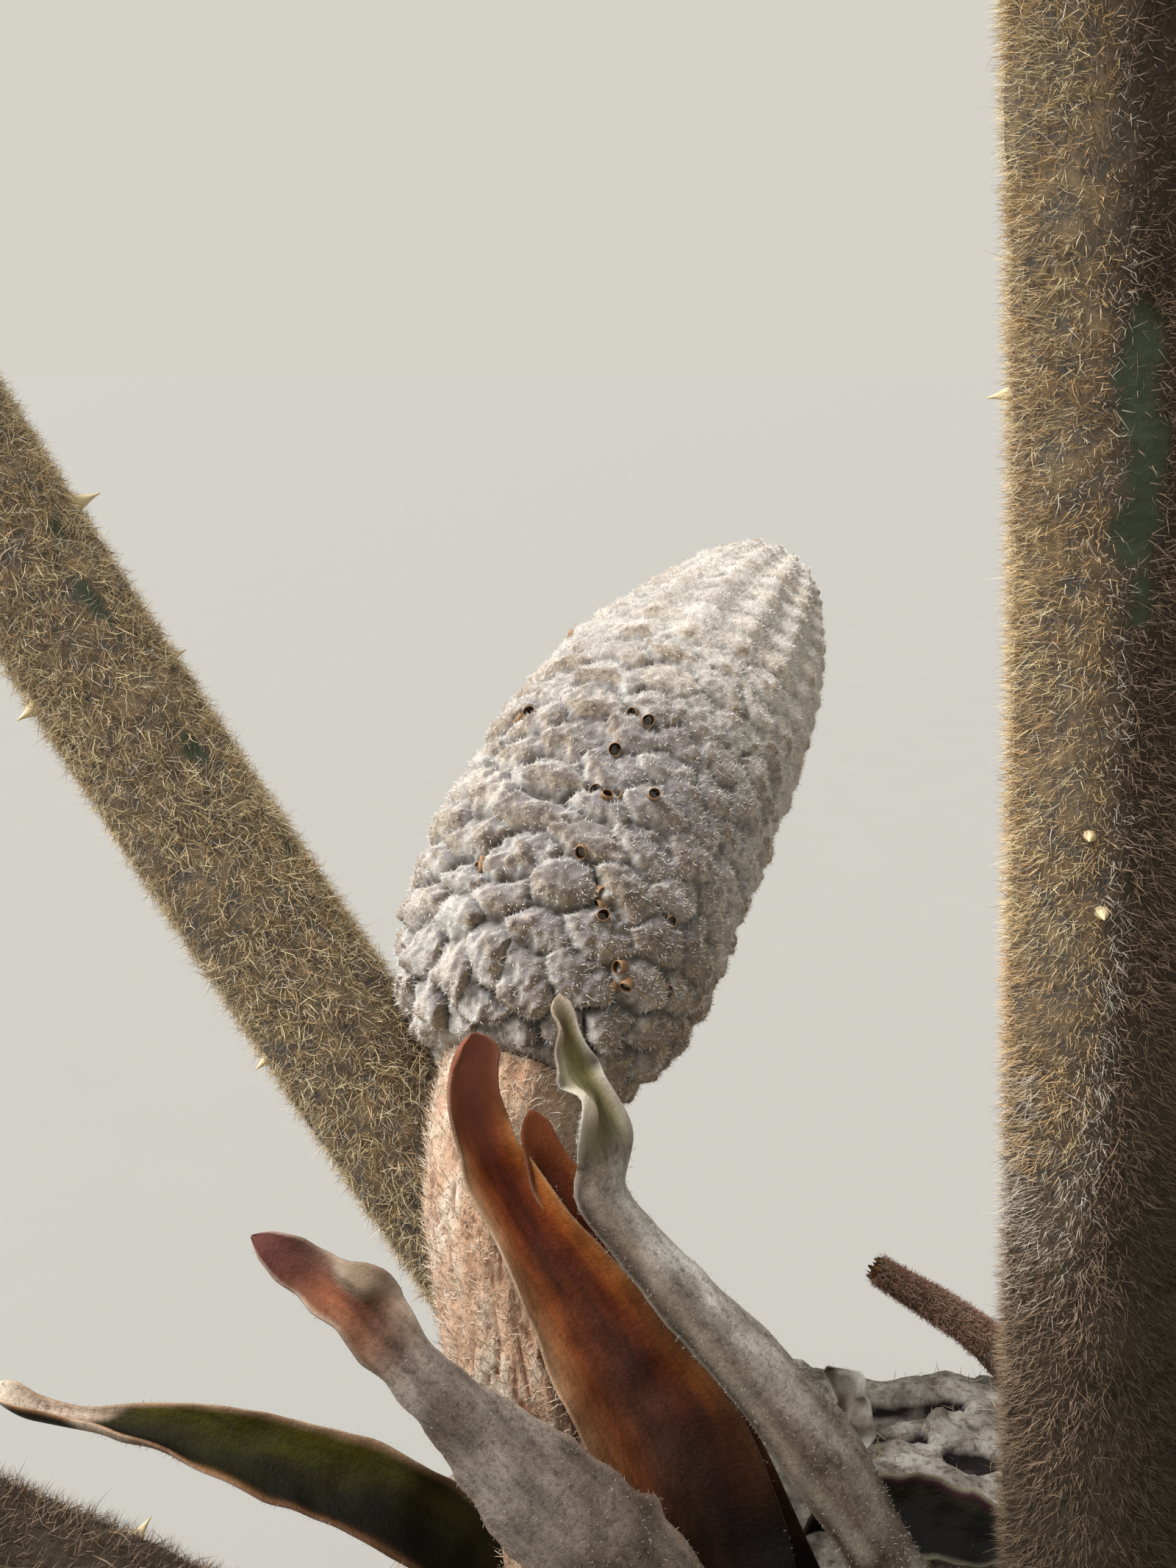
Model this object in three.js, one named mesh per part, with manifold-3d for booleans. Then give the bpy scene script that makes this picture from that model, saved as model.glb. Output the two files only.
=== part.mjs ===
// The heart of a cardboard palm, cut from its crown: the short stem, a spent pollen cone on its
// woolly stalk, the dry scale leaves round it, and three leaf stalks cut off where the leaves begin.
// Millimetres, +Z up. The origin is in the middle of the flat cut under the stem, at ground level.
import * as THREE from 'three';
import * as BufferGeometryUtils from 'three/addons/utils/BufferGeometryUtils.js';
import Module from 'manifold-3d';

const wasm = await Module();
wasm.setup();

const SEAT = 0.3; // clearance between a piece and what it grows from

const STEM = {
  height: 58,
  mound: 4, // rise of the growing point over the edge of the top
  groundRadius: 44.5,
  waistRadius: 40,
  crownRadius: 30, // where the rounded edge meets the top
  lean: [-4, -8], // how far the top stands off the ground centre
  shoulder: 11, // height of the rounded edge under the top
  flareHeight: 14,
  scarColumns: 12,
  scarRows: 5,
  scarHeight: 2.6,
  scarSizes: [0.6, 1.4], // smallest and largest, as shares of the height
  scarFade: [6, 8], // distance over which they fade out at the ground and at the top
  scarRings: [0.17, 0.5, 0.83], // rings of points in each row of scars, as shares of the row
  shoulderRings: [3.2, 1, 0], // further rings, below the top
  moundRings: [0.3, 0.62, 0.88], // rings on the mound, as shares of the way to its middle
  sides: 60,
};

const CONE = {
  foot: [-30.9, 3.8, 97.8],
  bend: [-22.9, 23, 117.2],
  tip: [-5.2, 51.9, 130.8],
  radius: 13.5,
  widestAt: 0.34, // share of the length
  taper: 0.55, // 0.5 rounds the upper end like an egg, more makes it slimmer
  stalkShare: 0.44, // radius at the foot, as a share of the widest
  columns: 18,
  rows: 21,
  rowShrink: 0.975, // each row is this much shorter than the one below
  footRun: 1.2, // bare outline below the first row
  tipRun: 2.6, // bare outline past the last row
  tipSink: 0.6,
  lumpHeight: 1.15,
  lumpSizes: [0.85, 1.15],
  faceSink: 0.35, // hollow in the middle of each scale's face
  rimShare: 0.74, // raised rim, as a share of the way to the groove
  outlineSteps: 240,
};

const STALK = {
  path: [[-23.5, -12, 56], [-28, -9, 74], [-34.2, -3.6, 89], CONE.foot],
  radii: [6.9, 6.1, 5.8, 5.7],
  sides: 18,
  steps: 16,
};

// leaf stalks, from the stem to the cut end, with the radius at the foot, low down, half way and at the cut
const PETIOLES = [
  {
    name: 'petiole_left',
    path: [[-16, 4, 54], [-27, 5.5, 72], [-52.5, 14, 104], [-86, 28, 157]],
    radii: [8.2, 6.5, 6.2, 6.1],
    prickles: [[0.87, 184], [0.79, 14], [0.56, 18], [0.45, 190], [0.35, 300]],
  },
  {
    name: 'petiole_right',
    path: [[13.5, -16.5, 54], [9.5, -13.5, 84], [9.8, -10, 130], [4.6, -9.2, 179]],
    radii: [6.4, 5.6, 6.2, 6.3],
    prickles: [[0.34, 250], [0.57, 54], [0.61, 46], [0.8, 300], [0.9, 200]],
  },
  {
    name: 'petiole_front',
    path: [[-26, -32, 50], [-34, -32, 67], [-50, -31.5, 76.5], [-74, -33, 89]],
    radii: [7.6, 6.3, 6.1, 6.1],
    prickles: [[0.5, 265], [0.7, 240], [0.85, 290]],
  },
];
const PETIOLE = { sides: 16, steps: 18 };
const PRICKLE = { length: 3, radius: 0.8, root: 0.9, lean: -0.1, sides: 6 }; // they lean a little to the foot

// dry scale leaves: path of the midrib, half widths from foot to tip, the way the inner face
// looks at the foot and at the tip, and how far the blade is rolled (radians, middle to edge)
const SCALES = [
  {
    name: 'scale_leaf_hooded',
    path: [[-13, -20, 54.5], [-19, -11, 91.5], [-36.5, -6.5, 90.5], [-33.5, -6.5, 106]],
    half: [5.7, 5.7, 3.8, 2.7, 1.2],
    face: [[0.3, -0.9, 0.35], [0.45, -0.8, -0.1]],
    roll: [0.4, 0.8, 1.3],
  },
  {
    name: 'scale_leaf_inner',
    path: [[-6, -14.5, 52], [-17, -3.5, 80], [-27, -6.5, 91.5], [-28.5, -5, 99.5]],
    half: [3.7, 3.9, 3.4, 2.2, 0.8],
    face: [[0.45, -0.85, 0.2], [0.5, -0.85, 0.15]],
    roll: [0.4, 0.6, 0.9],
  },
  {
    name: 'scale_leaf_felted',
    path: [[3, -28.5, 57], [-11.5, -14, 98], [-22, -16.5, 81], [-26.5, -7, 109]],
    half: [3.4, 3.3, 2.9, 2.4, 1.1],
    face: [[-0.6, 0.75, -0.1], [-0.62, 0.7, -0.1]],
    roll: [0.9, 1.1, 0.4],
  },
  {
    name: 'scale_leaf_kinked',
    path: [[-16, -28, 56.5], [-18.5, -22.5, 74], [-33.5, -18, 85], [-48, -13, 94]],
    half: [5.0, 5.8, 4.5, 2.5, 1.1],
    face: [[-0.1, 0.8, -0.5], [-0.1, 0.72, -0.55]],
    roll: [0.4, 0.7, 0.4],
  },
  {
    name: 'scale_leaf_spreading',
    path: [[-32.5, -18.5, 56], [-33.5, -16, 76], [-46, -18, 77], [-63.5, -17.5, 85]],
    half: [3.2, 3.4, 3.5, 2.5, 1.0],
    face: [[0.6, -0.4, 0.5], [0.1, -0.3, 0.9]],
    roll: [0.6, 0.8, 1.4],
  },
  {
    name: 'scale_leaf_dark',
    path: [[-7, -1, 55], [-5, -2, 63.5], [1.5, -4, 66], [8.5, -6.5, 62.5]],
    half: [2.2, 2.5, 2.3, 0.8],
    face: [[0.4, -0.3, 0.9], [0.1, -0.4, 0.9]],
    roll: [0.6, 0.7, 0.7],
  },
];
const SCALE = { thickness: 1.1, thinning: 0.4, across: 6, steps: 12 };

// shorter scale leaves round the side that faces away from the cone
const RING_SCALES = {
  bearings: [251, 275, 297, 320, 352, 12],
  reach: 26.5,
  foot: 53, // height at which they start, inside the stem's edge
  rise: [21, 30],
  spread: [9, 16],
  half: [3.4, 4.3, 3.0, 0.8],
  roll: [0.5, 0.8, 1.0],
  across: 4,
  steps: 8,
};

// broken feet of old leaves on the stem's edge: bearing round the crown in degrees, length and radius
const OLD_FEET = [
  { bearing: 340, length: 20, radius: 6.6 },
  { bearing: 22, length: 17, radius: 7.2 },
  { bearing: 110, length: 11, radius: 6.0 },
  { bearing: 138, length: 12, radius: 6.2 },
  { bearing: 268, length: 17, radius: 6.8 },
];
const OLD_FOOT = {
  reach: 27, // where they start, out from the middle of the top
  depth: 6,
  flatness: 0.68,
  rise: 0.62,
  taper: 0.28,
  wobble: 0.08,
  sides: 12,
  steps: 5,
};

const OLD_STALK = {
  path: [[19, 19, 52], [17, 20.5, 60], [10, 21.5, 62.5], [3.0, 22.7, 68]],
  radii: [2.8, 2.0, 1.7, 1.65],
  sides: 10,
  steps: 9,
};

const FLAKE = {
  path: [[-3.5, 9.5, 56.5], [-4.5, 9, 61], [-1.5, 9.5, 64], [-3.5, 8.6, 67]],
  half: [1.6, 2.4, 2.2, 1.2],
  face: [[0.2, -0.9, 0.2], [0.6, -0.7, 0.4]],
  roll: [0.9, 1.3, 0.8],
};

// small helpers

const vec = (p) => new THREE.Vector3(...p);

// the same number each time for the same seed, from 0 to 1
function chance(seed) {
  const x = Math.sin(seed * 127.1 + 311.7) * 43758.5453;
  return x - Math.floor(x);
}

const between = ([low, high], share) => low + (high - low) * share;

// values at even steps from 0 to 1, joined by a smooth curve
function blendValues(values, t) {
  const x = t * (values.length - 1);
  const i = Math.min(Math.floor(x), values.length - 2);
  const f = x - i;
  const s = f * f * (3 - 2 * f);
  return values[i] * (1 - s) + values[i + 1] * s;
}

function solidFrom(positions, triangles) {
  const geometry = new THREE.BufferGeometry();
  geometry.setAttribute('position', new THREE.Float32BufferAttribute(positions.flatMap((p) => [p.x, p.y, p.z]), 3));
  geometry.setIndex(triangles);
  return geometry;
}

// a closed skin over a row of rings, which all have the same even number of points
function loft(rings) {
  const n = rings[0].length;
  const positions = rings.flat();
  const triangles = [];
  for (let i = 0; i < rings.length - 1; i++) {
    for (let j = 0; j < n; j++) {
      const a = i * n + j;
      const b = i * n + ((j + 1) % n);
      triangles.push(a, b, b + n, a, b + n, a + n);
    }
  }
  // the two ends are closed by strips of triangles from one half of the ring to the other
  const last = (rings.length - 1) * n;
  for (let j = 0; j < n / 2 - 1; j++) {
    const back = n - 1 - j;
    triangles.push(j, back, j + 1, j + 1, back, back - 1);
    triangles.push(last + j, last + j + 1, last + back, last + j + 1, last + back - 1, last + back);
  }
  return solidFrom(positions, triangles);
}

function curveThrough(path) {
  return new THREE.CubicBezierCurve3(...path.map(vec));
}

// the way out from a limb's middle line at a bearing round it
function outFrom(along, angle) {
  const right = new THREE.Vector3(0.3, -1, 0.1).cross(along).normalize();
  const up = along.clone().cross(right);
  return right.multiplyScalar(Math.cos(angle)).addScaledVector(up, Math.sin(angle));
}

// a round limb along a path, its radius changing from foot to end
function limb({ path, radii, sides, steps }) {
  const curve = curveThrough(path);
  const rings = [];
  for (let i = 0; i <= steps; i++) {
    const t = i / steps;
    const ring = [];
    for (let j = 0; j < sides; j++) {
      const out = outFrom(curve.getTangent(t), (j / sides) * 2 * Math.PI);
      ring.push(curve.getPoint(t).addScaledVector(out, blendValues(radii, t)));
    }
    rings.push(ring);
  }
  return loft(rings);
}

// a thin blade rolled towards its inner face, with its section's points in one ring
function blade({ path, half, face, roll, across = SCALE.across, steps = SCALE.steps }) {
  const curve = curveThrough(path);
  const faceFoot = vec(face[0]).normalize();
  const faceTip = vec(face[1]).normalize();
  const rings = [];
  for (let i = 0; i <= steps; i++) {
    const t = i / steps;
    const middle = curve.getPoint(t);
    const along = curve.getTangent(t);
    const inward = faceFoot.clone().lerp(faceTip, t);
    inward.addScaledVector(along, -inward.dot(along)).normalize();
    const side = along.clone().cross(inward);
    const turn = blendValues(roll, t);
    const bow = blendValues(half, t) / turn;
    const thickness = SCALE.thickness * (1 - SCALE.thinning * t);
    const inner = [];
    const outer = [];
    for (let j = 0; j <= across; j++) {
      const angle = ((2 * j) / across - 1) * turn;
      const normal = inward.clone().multiplyScalar(Math.cos(angle)).addScaledVector(side, -Math.sin(angle));
      const point = middle.clone().addScaledVector(side, bow * Math.sin(angle));
      point.addScaledVector(inward, bow * (1 - Math.cos(angle)));
      inner.push(point.clone().addScaledVector(normal, thickness / 2));
      outer.unshift(point.clone().addScaledVector(normal, -thickness / 2));
    }
    rings.push([...outer, ...inner]);
  }
  return loft(rings);
}

// joins and cuts

function toSolid(geometry) {
  const bare = geometry.clone();
  bare.deleteAttribute('normal');
  bare.deleteAttribute('uv');
  const merged = BufferGeometryUtils.mergeVertices(bare, 1e-4);
  const mesh = new wasm.Mesh({
    numProp: 3,
    vertProperties: new Float32Array(merged.attributes.position.array),
    triVerts: new Uint32Array(merged.index.array),
  });
  return new wasm.Manifold(mesh);
}

function toGeometry(solid) {
  const mesh = solid.getMesh();
  const geometry = new THREE.BufferGeometry();
  geometry.setAttribute('position', new THREE.BufferAttribute(new Float32Array(mesh.vertProperties), 3));
  geometry.setIndex(new THREE.BufferAttribute(new Uint32Array(mesh.triVerts), 1));
  return geometry;
}

// the stem

function stemRadius(z) {
  const flare = Math.max(0, 1 - z / STEM.flareHeight);
  const side = STEM.waistRadius + (STEM.groundRadius - STEM.waistRadius) * flare * flare;
  const rise = Math.max(0, (z - (STEM.height - STEM.shoulder)) / STEM.shoulder);
  const edge = Math.sqrt(Math.max(0, 1 - rise * rise));
  return STEM.crownRadius + (side - STEM.crownRadius) * edge;
}

// old leaf scars in staggered rows, which fade out towards the ground and the top
function scarRelief(angle, z) {
  const row = (z / STEM.height) * STEM.scarRows;
  const stagger = Math.floor(row) % 2 ? 0.5 : 0;
  const column = (angle / (2 * Math.PI)) * STEM.scarColumns + stagger;
  const bump = Math.abs(Math.sin(Math.PI * column)) * Math.sin(Math.PI * (row - Math.floor(row)));
  const seed = (Math.floor(column) % STEM.scarColumns) * 7 + Math.floor(row) * 31;
  const fade = Math.min(1, z / STEM.scarFade[0], (STEM.height - z) / STEM.scarFade[1]);
  return STEM.scarHeight * bump * between(STEM.scarSizes, chance(seed)) * Math.max(0, fade);
}

// heights of the rings up the side, over the rounded edge and the mound
function stemLevels() {
  const levels = [{ z: 0 }];
  const rowHeight = STEM.height / STEM.scarRows;
  for (let row = 0; row < STEM.scarRows; row++) {
    for (const part of STEM.scarRings) levels.push({ z: (row + part) * rowHeight });
  }
  for (const below of STEM.shoulderRings) levels.push({ z: STEM.height - below });
  for (const inward of STEM.moundRings) {
    const z = STEM.height + STEM.mound * Math.sin((inward * Math.PI) / 2);
    levels.push({ z, radius: STEM.crownRadius * (1 - inward) });
  }
  return levels.sort((a, b) => a.z - b.z);
}

function stemSolid(grow) {
  const rings = stemLevels().map(({ z, radius }) => {
    const lean = Math.min(1, Math.pow(z / STEM.height, 1.3));
    const ring = [];
    for (let j = 0; j < STEM.sides; j++) {
      const angle = (j / STEM.sides) * 2 * Math.PI;
      const reach = radius === undefined ? stemRadius(z) + grow + scarRelief(angle, z) : radius;
      const x = STEM.lean[0] * lean + reach * Math.cos(angle);
      const y = STEM.lean[1] * lean + reach * Math.sin(angle);
      ring.push(new THREE.Vector3(x, y, z > 0 ? z + grow : z));
    }
    return ring;
  });
  return loft(rings);
}

const seatCutter = toSolid(stemSolid(SEAT));

// cuts a piece off where it would sink into the stem
function seated(geometry) {
  return toGeometry(toSolid(geometry).subtract(seatCutter));
}

// the pollen cone

const coneAxis = new THREE.QuadraticBezierCurve3(vec(CONE.foot), vec(CONE.bend), vec(CONE.tip));
const coneLength = coneAxis.getLength();
const coneSide = coneAxis.getTangent(0).cross(coneAxis.getTangent(1)).normalize();

function coneRadius(share) {
  if (share < CONE.widestAt) {
    const below = (CONE.widestAt - share) / CONE.widestAt;
    return CONE.radius * (CONE.stalkShare + (1 - CONE.stalkShare) * Math.sqrt(1 - below ** 3));
  }
  const above = (share - CONE.widestAt) / (1 - CONE.widestAt);
  return CONE.radius * (1 - above ** 2) ** CONE.taper;
}

// the outline as points with their distance along it, so that rows can be spaced on the surface
const coneOutline = [];
for (let i = 0; i <= CONE.outlineSteps; i++) {
  const share = (1 - Math.cos((Math.PI * i) / CONE.outlineSteps)) / 2;
  const radius = coneRadius(share);
  const last = coneOutline[i - 1];
  const run = last ? last.run + Math.hypot((share - last.share) * coneLength, radius - last.radius) : 0;
  coneOutline.push({ share, radius, run });
}
const outlineRun = coneOutline[coneOutline.length - 1].run;

function outlineAt(run) {
  let i = 1;
  while (i < coneOutline.length - 1 && coneOutline[i].run < run) i++;
  const a = coneOutline[i - 1];
  const b = coneOutline[i];
  const f = (run - a.run) / (b.run - a.run);
  const step = Math.hypot((b.share - a.share) * coneLength, b.radius - a.radius);
  return {
    share: a.share + (b.share - a.share) * f,
    radius: a.radius + (b.radius - a.radius) * f,
    outward: ((b.share - a.share) * coneLength) / step,
    forward: -(b.radius - a.radius) / step,
  };
}

// a point on the cone: angle round it, row counted from the foot, height over the grooves
function conePoint(angle, row, height) {
  const usable = outlineRun - CONE.footRun - CONE.tipRun;
  const shrink = CONE.rowShrink;
  const share = (1 - shrink ** (row + 0.5)) / (1 - shrink ** (CONE.rows + 0.5));
  const at = outlineAt(CONE.footRun + usable * share);
  const middle = coneAxis.getPointAt(at.share);
  const along = coneAxis.getTangentAt(at.share);
  const across = coneSide.clone().cross(along);
  const out = across.multiplyScalar(Math.cos(angle)).addScaledVector(coneSide, Math.sin(angle));
  const over = height - CONE.lumpHeight;
  const point = middle.addScaledVector(out, at.radius + over * at.outward);
  return point.addScaledVector(along, over * at.forward);
}

// six-sided scale faces in upright columns, each with a raised rim and a hollow middle
function pollenCone() {
  const positions = [];
  const triangles = [];
  const step = (2 * Math.PI) / CONE.columns;
  const grooves = new Map();
  const add = (point) => positions.push(point) - 1;

  // a groove point is shared by up to three scales: column edge side (-1 or 1) and row
  const groove = (column, side, row) => {
    const c = (column + CONE.columns) % CONE.columns;
    const key = `${c} ${side} ${row}`;
    if (!grooves.has(key)) grooves.set(key, add(conePoint((c + side / 3) * step, row, 0)));
    return grooves.get(key);
  };

  for (let column = 0; column < CONE.columns; column++) {
    const offset = column % 2 ? 0.5 : 0;
    for (let k = 0; k < CONE.rows; k++) {
      const row = k + offset;
      const corners = [
        [column + 1, -1, row, 2 / 3, 0],
        [column, 1, row + 0.5, 1 / 3, 0.5],
        [column, -1, row + 0.5, -1 / 3, 0.5],
        [column - 1, 1, row, -2 / 3, 0],
        [column, -1, row - 0.5, -1 / 3, -0.5],
        [column, 1, row - 0.5, 1 / 3, -0.5],
      ];
      const outer = corners.map(([c, side, r]) => groove(c, side, r));
      const height = CONE.lumpHeight * between(CONE.lumpSizes, chance(column * 17 + k * 5));
      const rim = corners.map(([, , , dc, dr]) => {
        const angle = (column + dc * CONE.rimShare) * step;
        return add(conePoint(angle, row + dr * CONE.rimShare, height));
      });
      const middle = add(conePoint(column * step, row, height - CONE.faceSink));
      for (let j = 0; j < 6; j++) {
        const n = (j + 1) % 6;
        triangles.push(middle, rim[j], rim[n]);
        triangles.push(rim[j], outer[j], outer[n], rim[j], outer[n], rim[n]);
      }
    }
  }

  const tip = add(coneAxis.getPoint(1).addScaledVector(coneAxis.getTangent(1), -CONE.tipSink));
  const foot = add(coneAxis.getPoint(0));
  for (let column = 0; column < CONE.columns; column++) {
    const low = column % 2 ? 0 : -0.5;
    const high = low + CONE.rows;
    const nextLow = column % 2 ? -0.5 : 0;
    const nextHigh = nextLow + CONE.rows;
    const left = groove(column, -1, low);
    const right = groove(column, 1, low);
    triangles.push(foot, right, left, foot, groove(column + 1, -1, nextLow), right);
    const topLeft = groove(column, -1, high);
    const topRight = groove(column, 1, high);
    triangles.push(tip, topLeft, topRight, tip, topRight, groove(column + 1, -1, nextHigh));
  }
  return solidFrom(positions, triangles);
}

// leaf stalks with their prickles

function petiole({ path, radii, prickles }) {
  const curve = curveThrough(path);
  let solid = toSolid(limb({ path, radii, sides: PETIOLE.sides, steps: PETIOLE.steps }));
  for (const [t, bearing] of prickles) {
    const along = curve.getTangent(t);
    const out = outFrom(along, THREE.MathUtils.degToRad(bearing));
    out.addScaledVector(along, PRICKLE.lean).normalize();
    const prickle = new THREE.ConeGeometry(PRICKLE.radius, PRICKLE.length, PRICKLE.sides);
    prickle.applyQuaternion(new THREE.Quaternion().setFromUnitVectors(new THREE.Vector3(0, 1, 0), out));
    const reach = blendValues(radii, t) + PRICKLE.length / 2 - PRICKLE.root;
    const seat = curve.getPoint(t).addScaledVector(out, reach);
    prickle.translate(seat.x, seat.y, seat.z);
    solid = solid.add(toSolid(prickle));
  }
  return toGeometry(solid);
}

// the broken foot of an old leaf, flattened and pointing up and out from the stem's edge
function oldFoot({ bearing, length, radius }, index) {
  const angle = THREE.MathUtils.degToRad(bearing);
  const out = new THREE.Vector3(Math.cos(angle), Math.sin(angle), OLD_FOOT.rise).normalize();
  const side = new THREE.Vector3(-Math.sin(angle), Math.cos(angle), 0);
  const up = out.clone().cross(side);
  const start = new THREE.Vector3(
    STEM.lean[0] + OLD_FOOT.reach * Math.cos(angle),
    STEM.lean[1] + OLD_FOOT.reach * Math.sin(angle),
    STEM.height - OLD_FOOT.depth,
  );
  const rings = [];
  for (let i = 0; i <= OLD_FOOT.steps; i++) {
    const t = i / OLD_FOOT.steps;
    const middle = start.clone().addScaledVector(out, t * length);
    const size = radius * (1 - OLD_FOOT.taper * t);
    const ring = [];
    for (let j = 0; j < OLD_FOOT.sides; j++) {
      const a = (j / OLD_FOOT.sides) * 2 * Math.PI;
      const wobble = 1 + OLD_FOOT.wobble * (chance(index * 50 + j) - 0.5);
      const point = middle.clone().addScaledVector(side, size * wobble * Math.cos(a));
      ring.push(point.addScaledVector(up, size * OLD_FOOT.flatness * wobble * Math.sin(a)));
    }
    rings.push(ring);
  }
  return loft(rings);
}

// a short scale leaf at a bearing round the crown, leaning out
function ringScale(bearing, index) {
  const angle = THREE.MathUtils.degToRad(bearing);
  const rise = between(RING_SCALES.rise, chance(index * 3 + 1));
  const spread = between(RING_SCALES.spread, chance(index * 3 + 2));
  const at = (out, up) => [
    STEM.lean[0] + (RING_SCALES.reach + out * spread) * Math.cos(angle),
    STEM.lean[1] + (RING_SCALES.reach + out * spread) * Math.sin(angle),
    RING_SCALES.foot + up * rise,
  ];
  return blade({
    ...RING_SCALES,
    path: [at(0, 0), at(0.1, 0.5), at(0.5, 0.8), at(1, 1)],
    face: [[-Math.cos(angle), -Math.sin(angle), 0.2], [-Math.cos(angle), -Math.sin(angle), 1]],
  });
}

// finishes and assembly

const finish = (color, roughness) => new THREE.MeshStandardMaterial({ color, roughness, metalness: 0 });
const bark = finish('#8d857a', 0.95);
const wool = finish('#cdb89c', 0.98);
const coneFelt = finish('#c9bcab', 0.97);
const brownHair = finish('#8a6f50', 0.97);
const dryScale = finish('#8c6a4d', 0.8);
const darkScale = finish('#4a4234', 0.8);

const plant = new THREE.Group();

function place(name, geometry, material) {
  const mesh = new THREE.Mesh(geometry, material);
  mesh.name = name;
  plant.add(mesh);
  return mesh;
}

place('stem', stemSolid(0), bark);
place('cone_stalk', seated(limb(STALK)), wool);
place('pollen_cone', pollenCone(), coneFelt).position.copy(coneAxis.getTangent(0).multiplyScalar(SEAT));

for (const stalk of PETIOLES) place(stalk.name, seated(petiole(stalk)), brownHair);
for (const scale of SCALES) {
  place(scale.name, seated(blade(scale)), scale.name === 'scale_leaf_dark' ? darkScale : dryScale);
}
RING_SCALES.bearings.forEach((bearing, i) => {
  place(`scale_leaf_ring_${i + 1}`, seated(ringScale(bearing, i)), dryScale);
});
OLD_FEET.forEach((foot, i) => place(`old_leaf_foot_${i + 1}`, seated(oldFoot(foot, i)), brownHair));
place('old_cone_stalk', seated(limb(OLD_STALK)), brownHair);
place('dry_flake', seated(blade(FLAKE)), dryScale);

export default plant;
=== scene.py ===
import math

import bpy
import numpy as np
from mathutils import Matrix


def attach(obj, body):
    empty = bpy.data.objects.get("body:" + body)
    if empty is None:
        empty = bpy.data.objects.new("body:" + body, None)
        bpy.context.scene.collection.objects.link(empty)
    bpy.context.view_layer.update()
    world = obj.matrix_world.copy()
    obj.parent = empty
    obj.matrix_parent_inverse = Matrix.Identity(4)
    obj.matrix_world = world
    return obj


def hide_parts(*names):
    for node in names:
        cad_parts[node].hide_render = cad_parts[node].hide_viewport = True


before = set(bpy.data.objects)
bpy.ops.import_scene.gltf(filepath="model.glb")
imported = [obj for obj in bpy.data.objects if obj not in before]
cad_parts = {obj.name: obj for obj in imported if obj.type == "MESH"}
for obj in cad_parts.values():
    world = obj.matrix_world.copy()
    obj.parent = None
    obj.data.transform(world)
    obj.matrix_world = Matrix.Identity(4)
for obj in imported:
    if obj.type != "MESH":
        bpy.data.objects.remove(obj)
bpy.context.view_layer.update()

# The heart of a cardboard palm: pollen cone, woolly stalk, dry scale leaves, hairy leaf stalks, short stem.
# Plant sizes are in millimetres and become metres when a mesh is made.
mm = 0.001
dice = np.random.default_rng(83)
scene = bpy.context.scene

photoCamera = {
    "place": (-25.1, -107.2, 150.9), "pitch": 15,
    "focal": 2100, "width": 1600, "height": 2133,  # pixels of the photograph
}


# Small sums

def unit(v):
    return v / np.maximum(np.linalg.norm(v, axis=-1, keepdims=True), 1e-9)


def smoothStep(low, high, x):
    f = np.clip((x - low) / (high - low), 0, 1)
    return f * f * (3 - 2 * f)


# how far normals look towards a side, from -1 to 1
def towards(normals, side):
    return normals @ unit(np.array(side))


# values at even steps from 0 to 1, joined by a smooth curve
def blendValues(values, t):
    values = np.asarray(values, float)
    x = np.clip(t, 0, 1) * (len(values) - 1)
    i = np.minimum(np.floor(x).astype(int), len(values) - 2)
    f = x - i
    s = f * f * (3 - 2 * f)
    return values[i] * (1 - s) + values[i + 1] * s


# a whole-number hash of three cell numbers, from 0 to 1
def cellChance(x, y, z, seed=0):
    h = (x * 73856093 ^ y * 19349663 ^ z * 83492791 ^ (seed + 1) * 26544357) & 0xffffffff
    h = ((h ^ (h >> 15)) * 2246822519) & 0xffffffff
    h = ((h ^ (h >> 13)) * 3266489917) & 0xffffffff
    return (h ^ (h >> 16)) / 2.0 ** 32


# smooth noise from -1 to 1, with lumps about as wide as size
def lumps(points, size, seed=0):
    p = points / size
    cell = np.floor(p).astype(np.int64)
    f = p - cell
    u = f * f * f * (f * (f * 6 - 15) + 10)
    total = np.zeros(points.shape[:-1])
    for dx in (0, 1):
        wx = u[..., 0] if dx else 1 - u[..., 0]
        for dy in (0, 1):
            wy = u[..., 1] if dy else 1 - u[..., 1]
            for dz in (0, 1):
                wz = u[..., 2] if dz else 1 - u[..., 2]
                value = cellChance(cell[..., 0] + dx, cell[..., 1] + dy, cell[..., 2] + dz, seed)
                total += wx * wy * wz * (2 * value - 1)
    return total


def roughness(points, size, octaves, seed=0):
    total = np.zeros(points.shape[:-1])
    for k in range(octaves):
        total += lumps(points, size / 2 ** k, seed + 7 * k) / 2 ** k
    return total


def ridges(points, size, seed=0):
    return 1 - 2 * np.abs(lumps(points, size, seed))


# chunky facets: round each of many scattered points the surface follows its own tilted plane
def facets(points, size, seed=0):
    p = points / size
    cell = np.floor(p).astype(np.int64)
    total = np.zeros(points.shape[:-1])
    weight = np.zeros(points.shape[:-1]) + 1e-9
    steps = np.array(np.meshgrid((-1, 0, 1), (-1, 0, 1), (-1, 0, 1))).reshape(3, -1).T
    for step in steps:
        near = cell + step
        pick = [cellChance(near[..., 0], near[..., 1], near[..., 2], seed + k) for k in range(6)]
        away = p - near - np.stack(pick[:3], -1)
        share = np.exp(-10 * np.sum(away ** 2, axis=-1))
        total += share * np.sum(away * (2 * np.stack(pick[3:], -1) - 1), axis=-1)
        weight += share
    return total / weight


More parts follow.
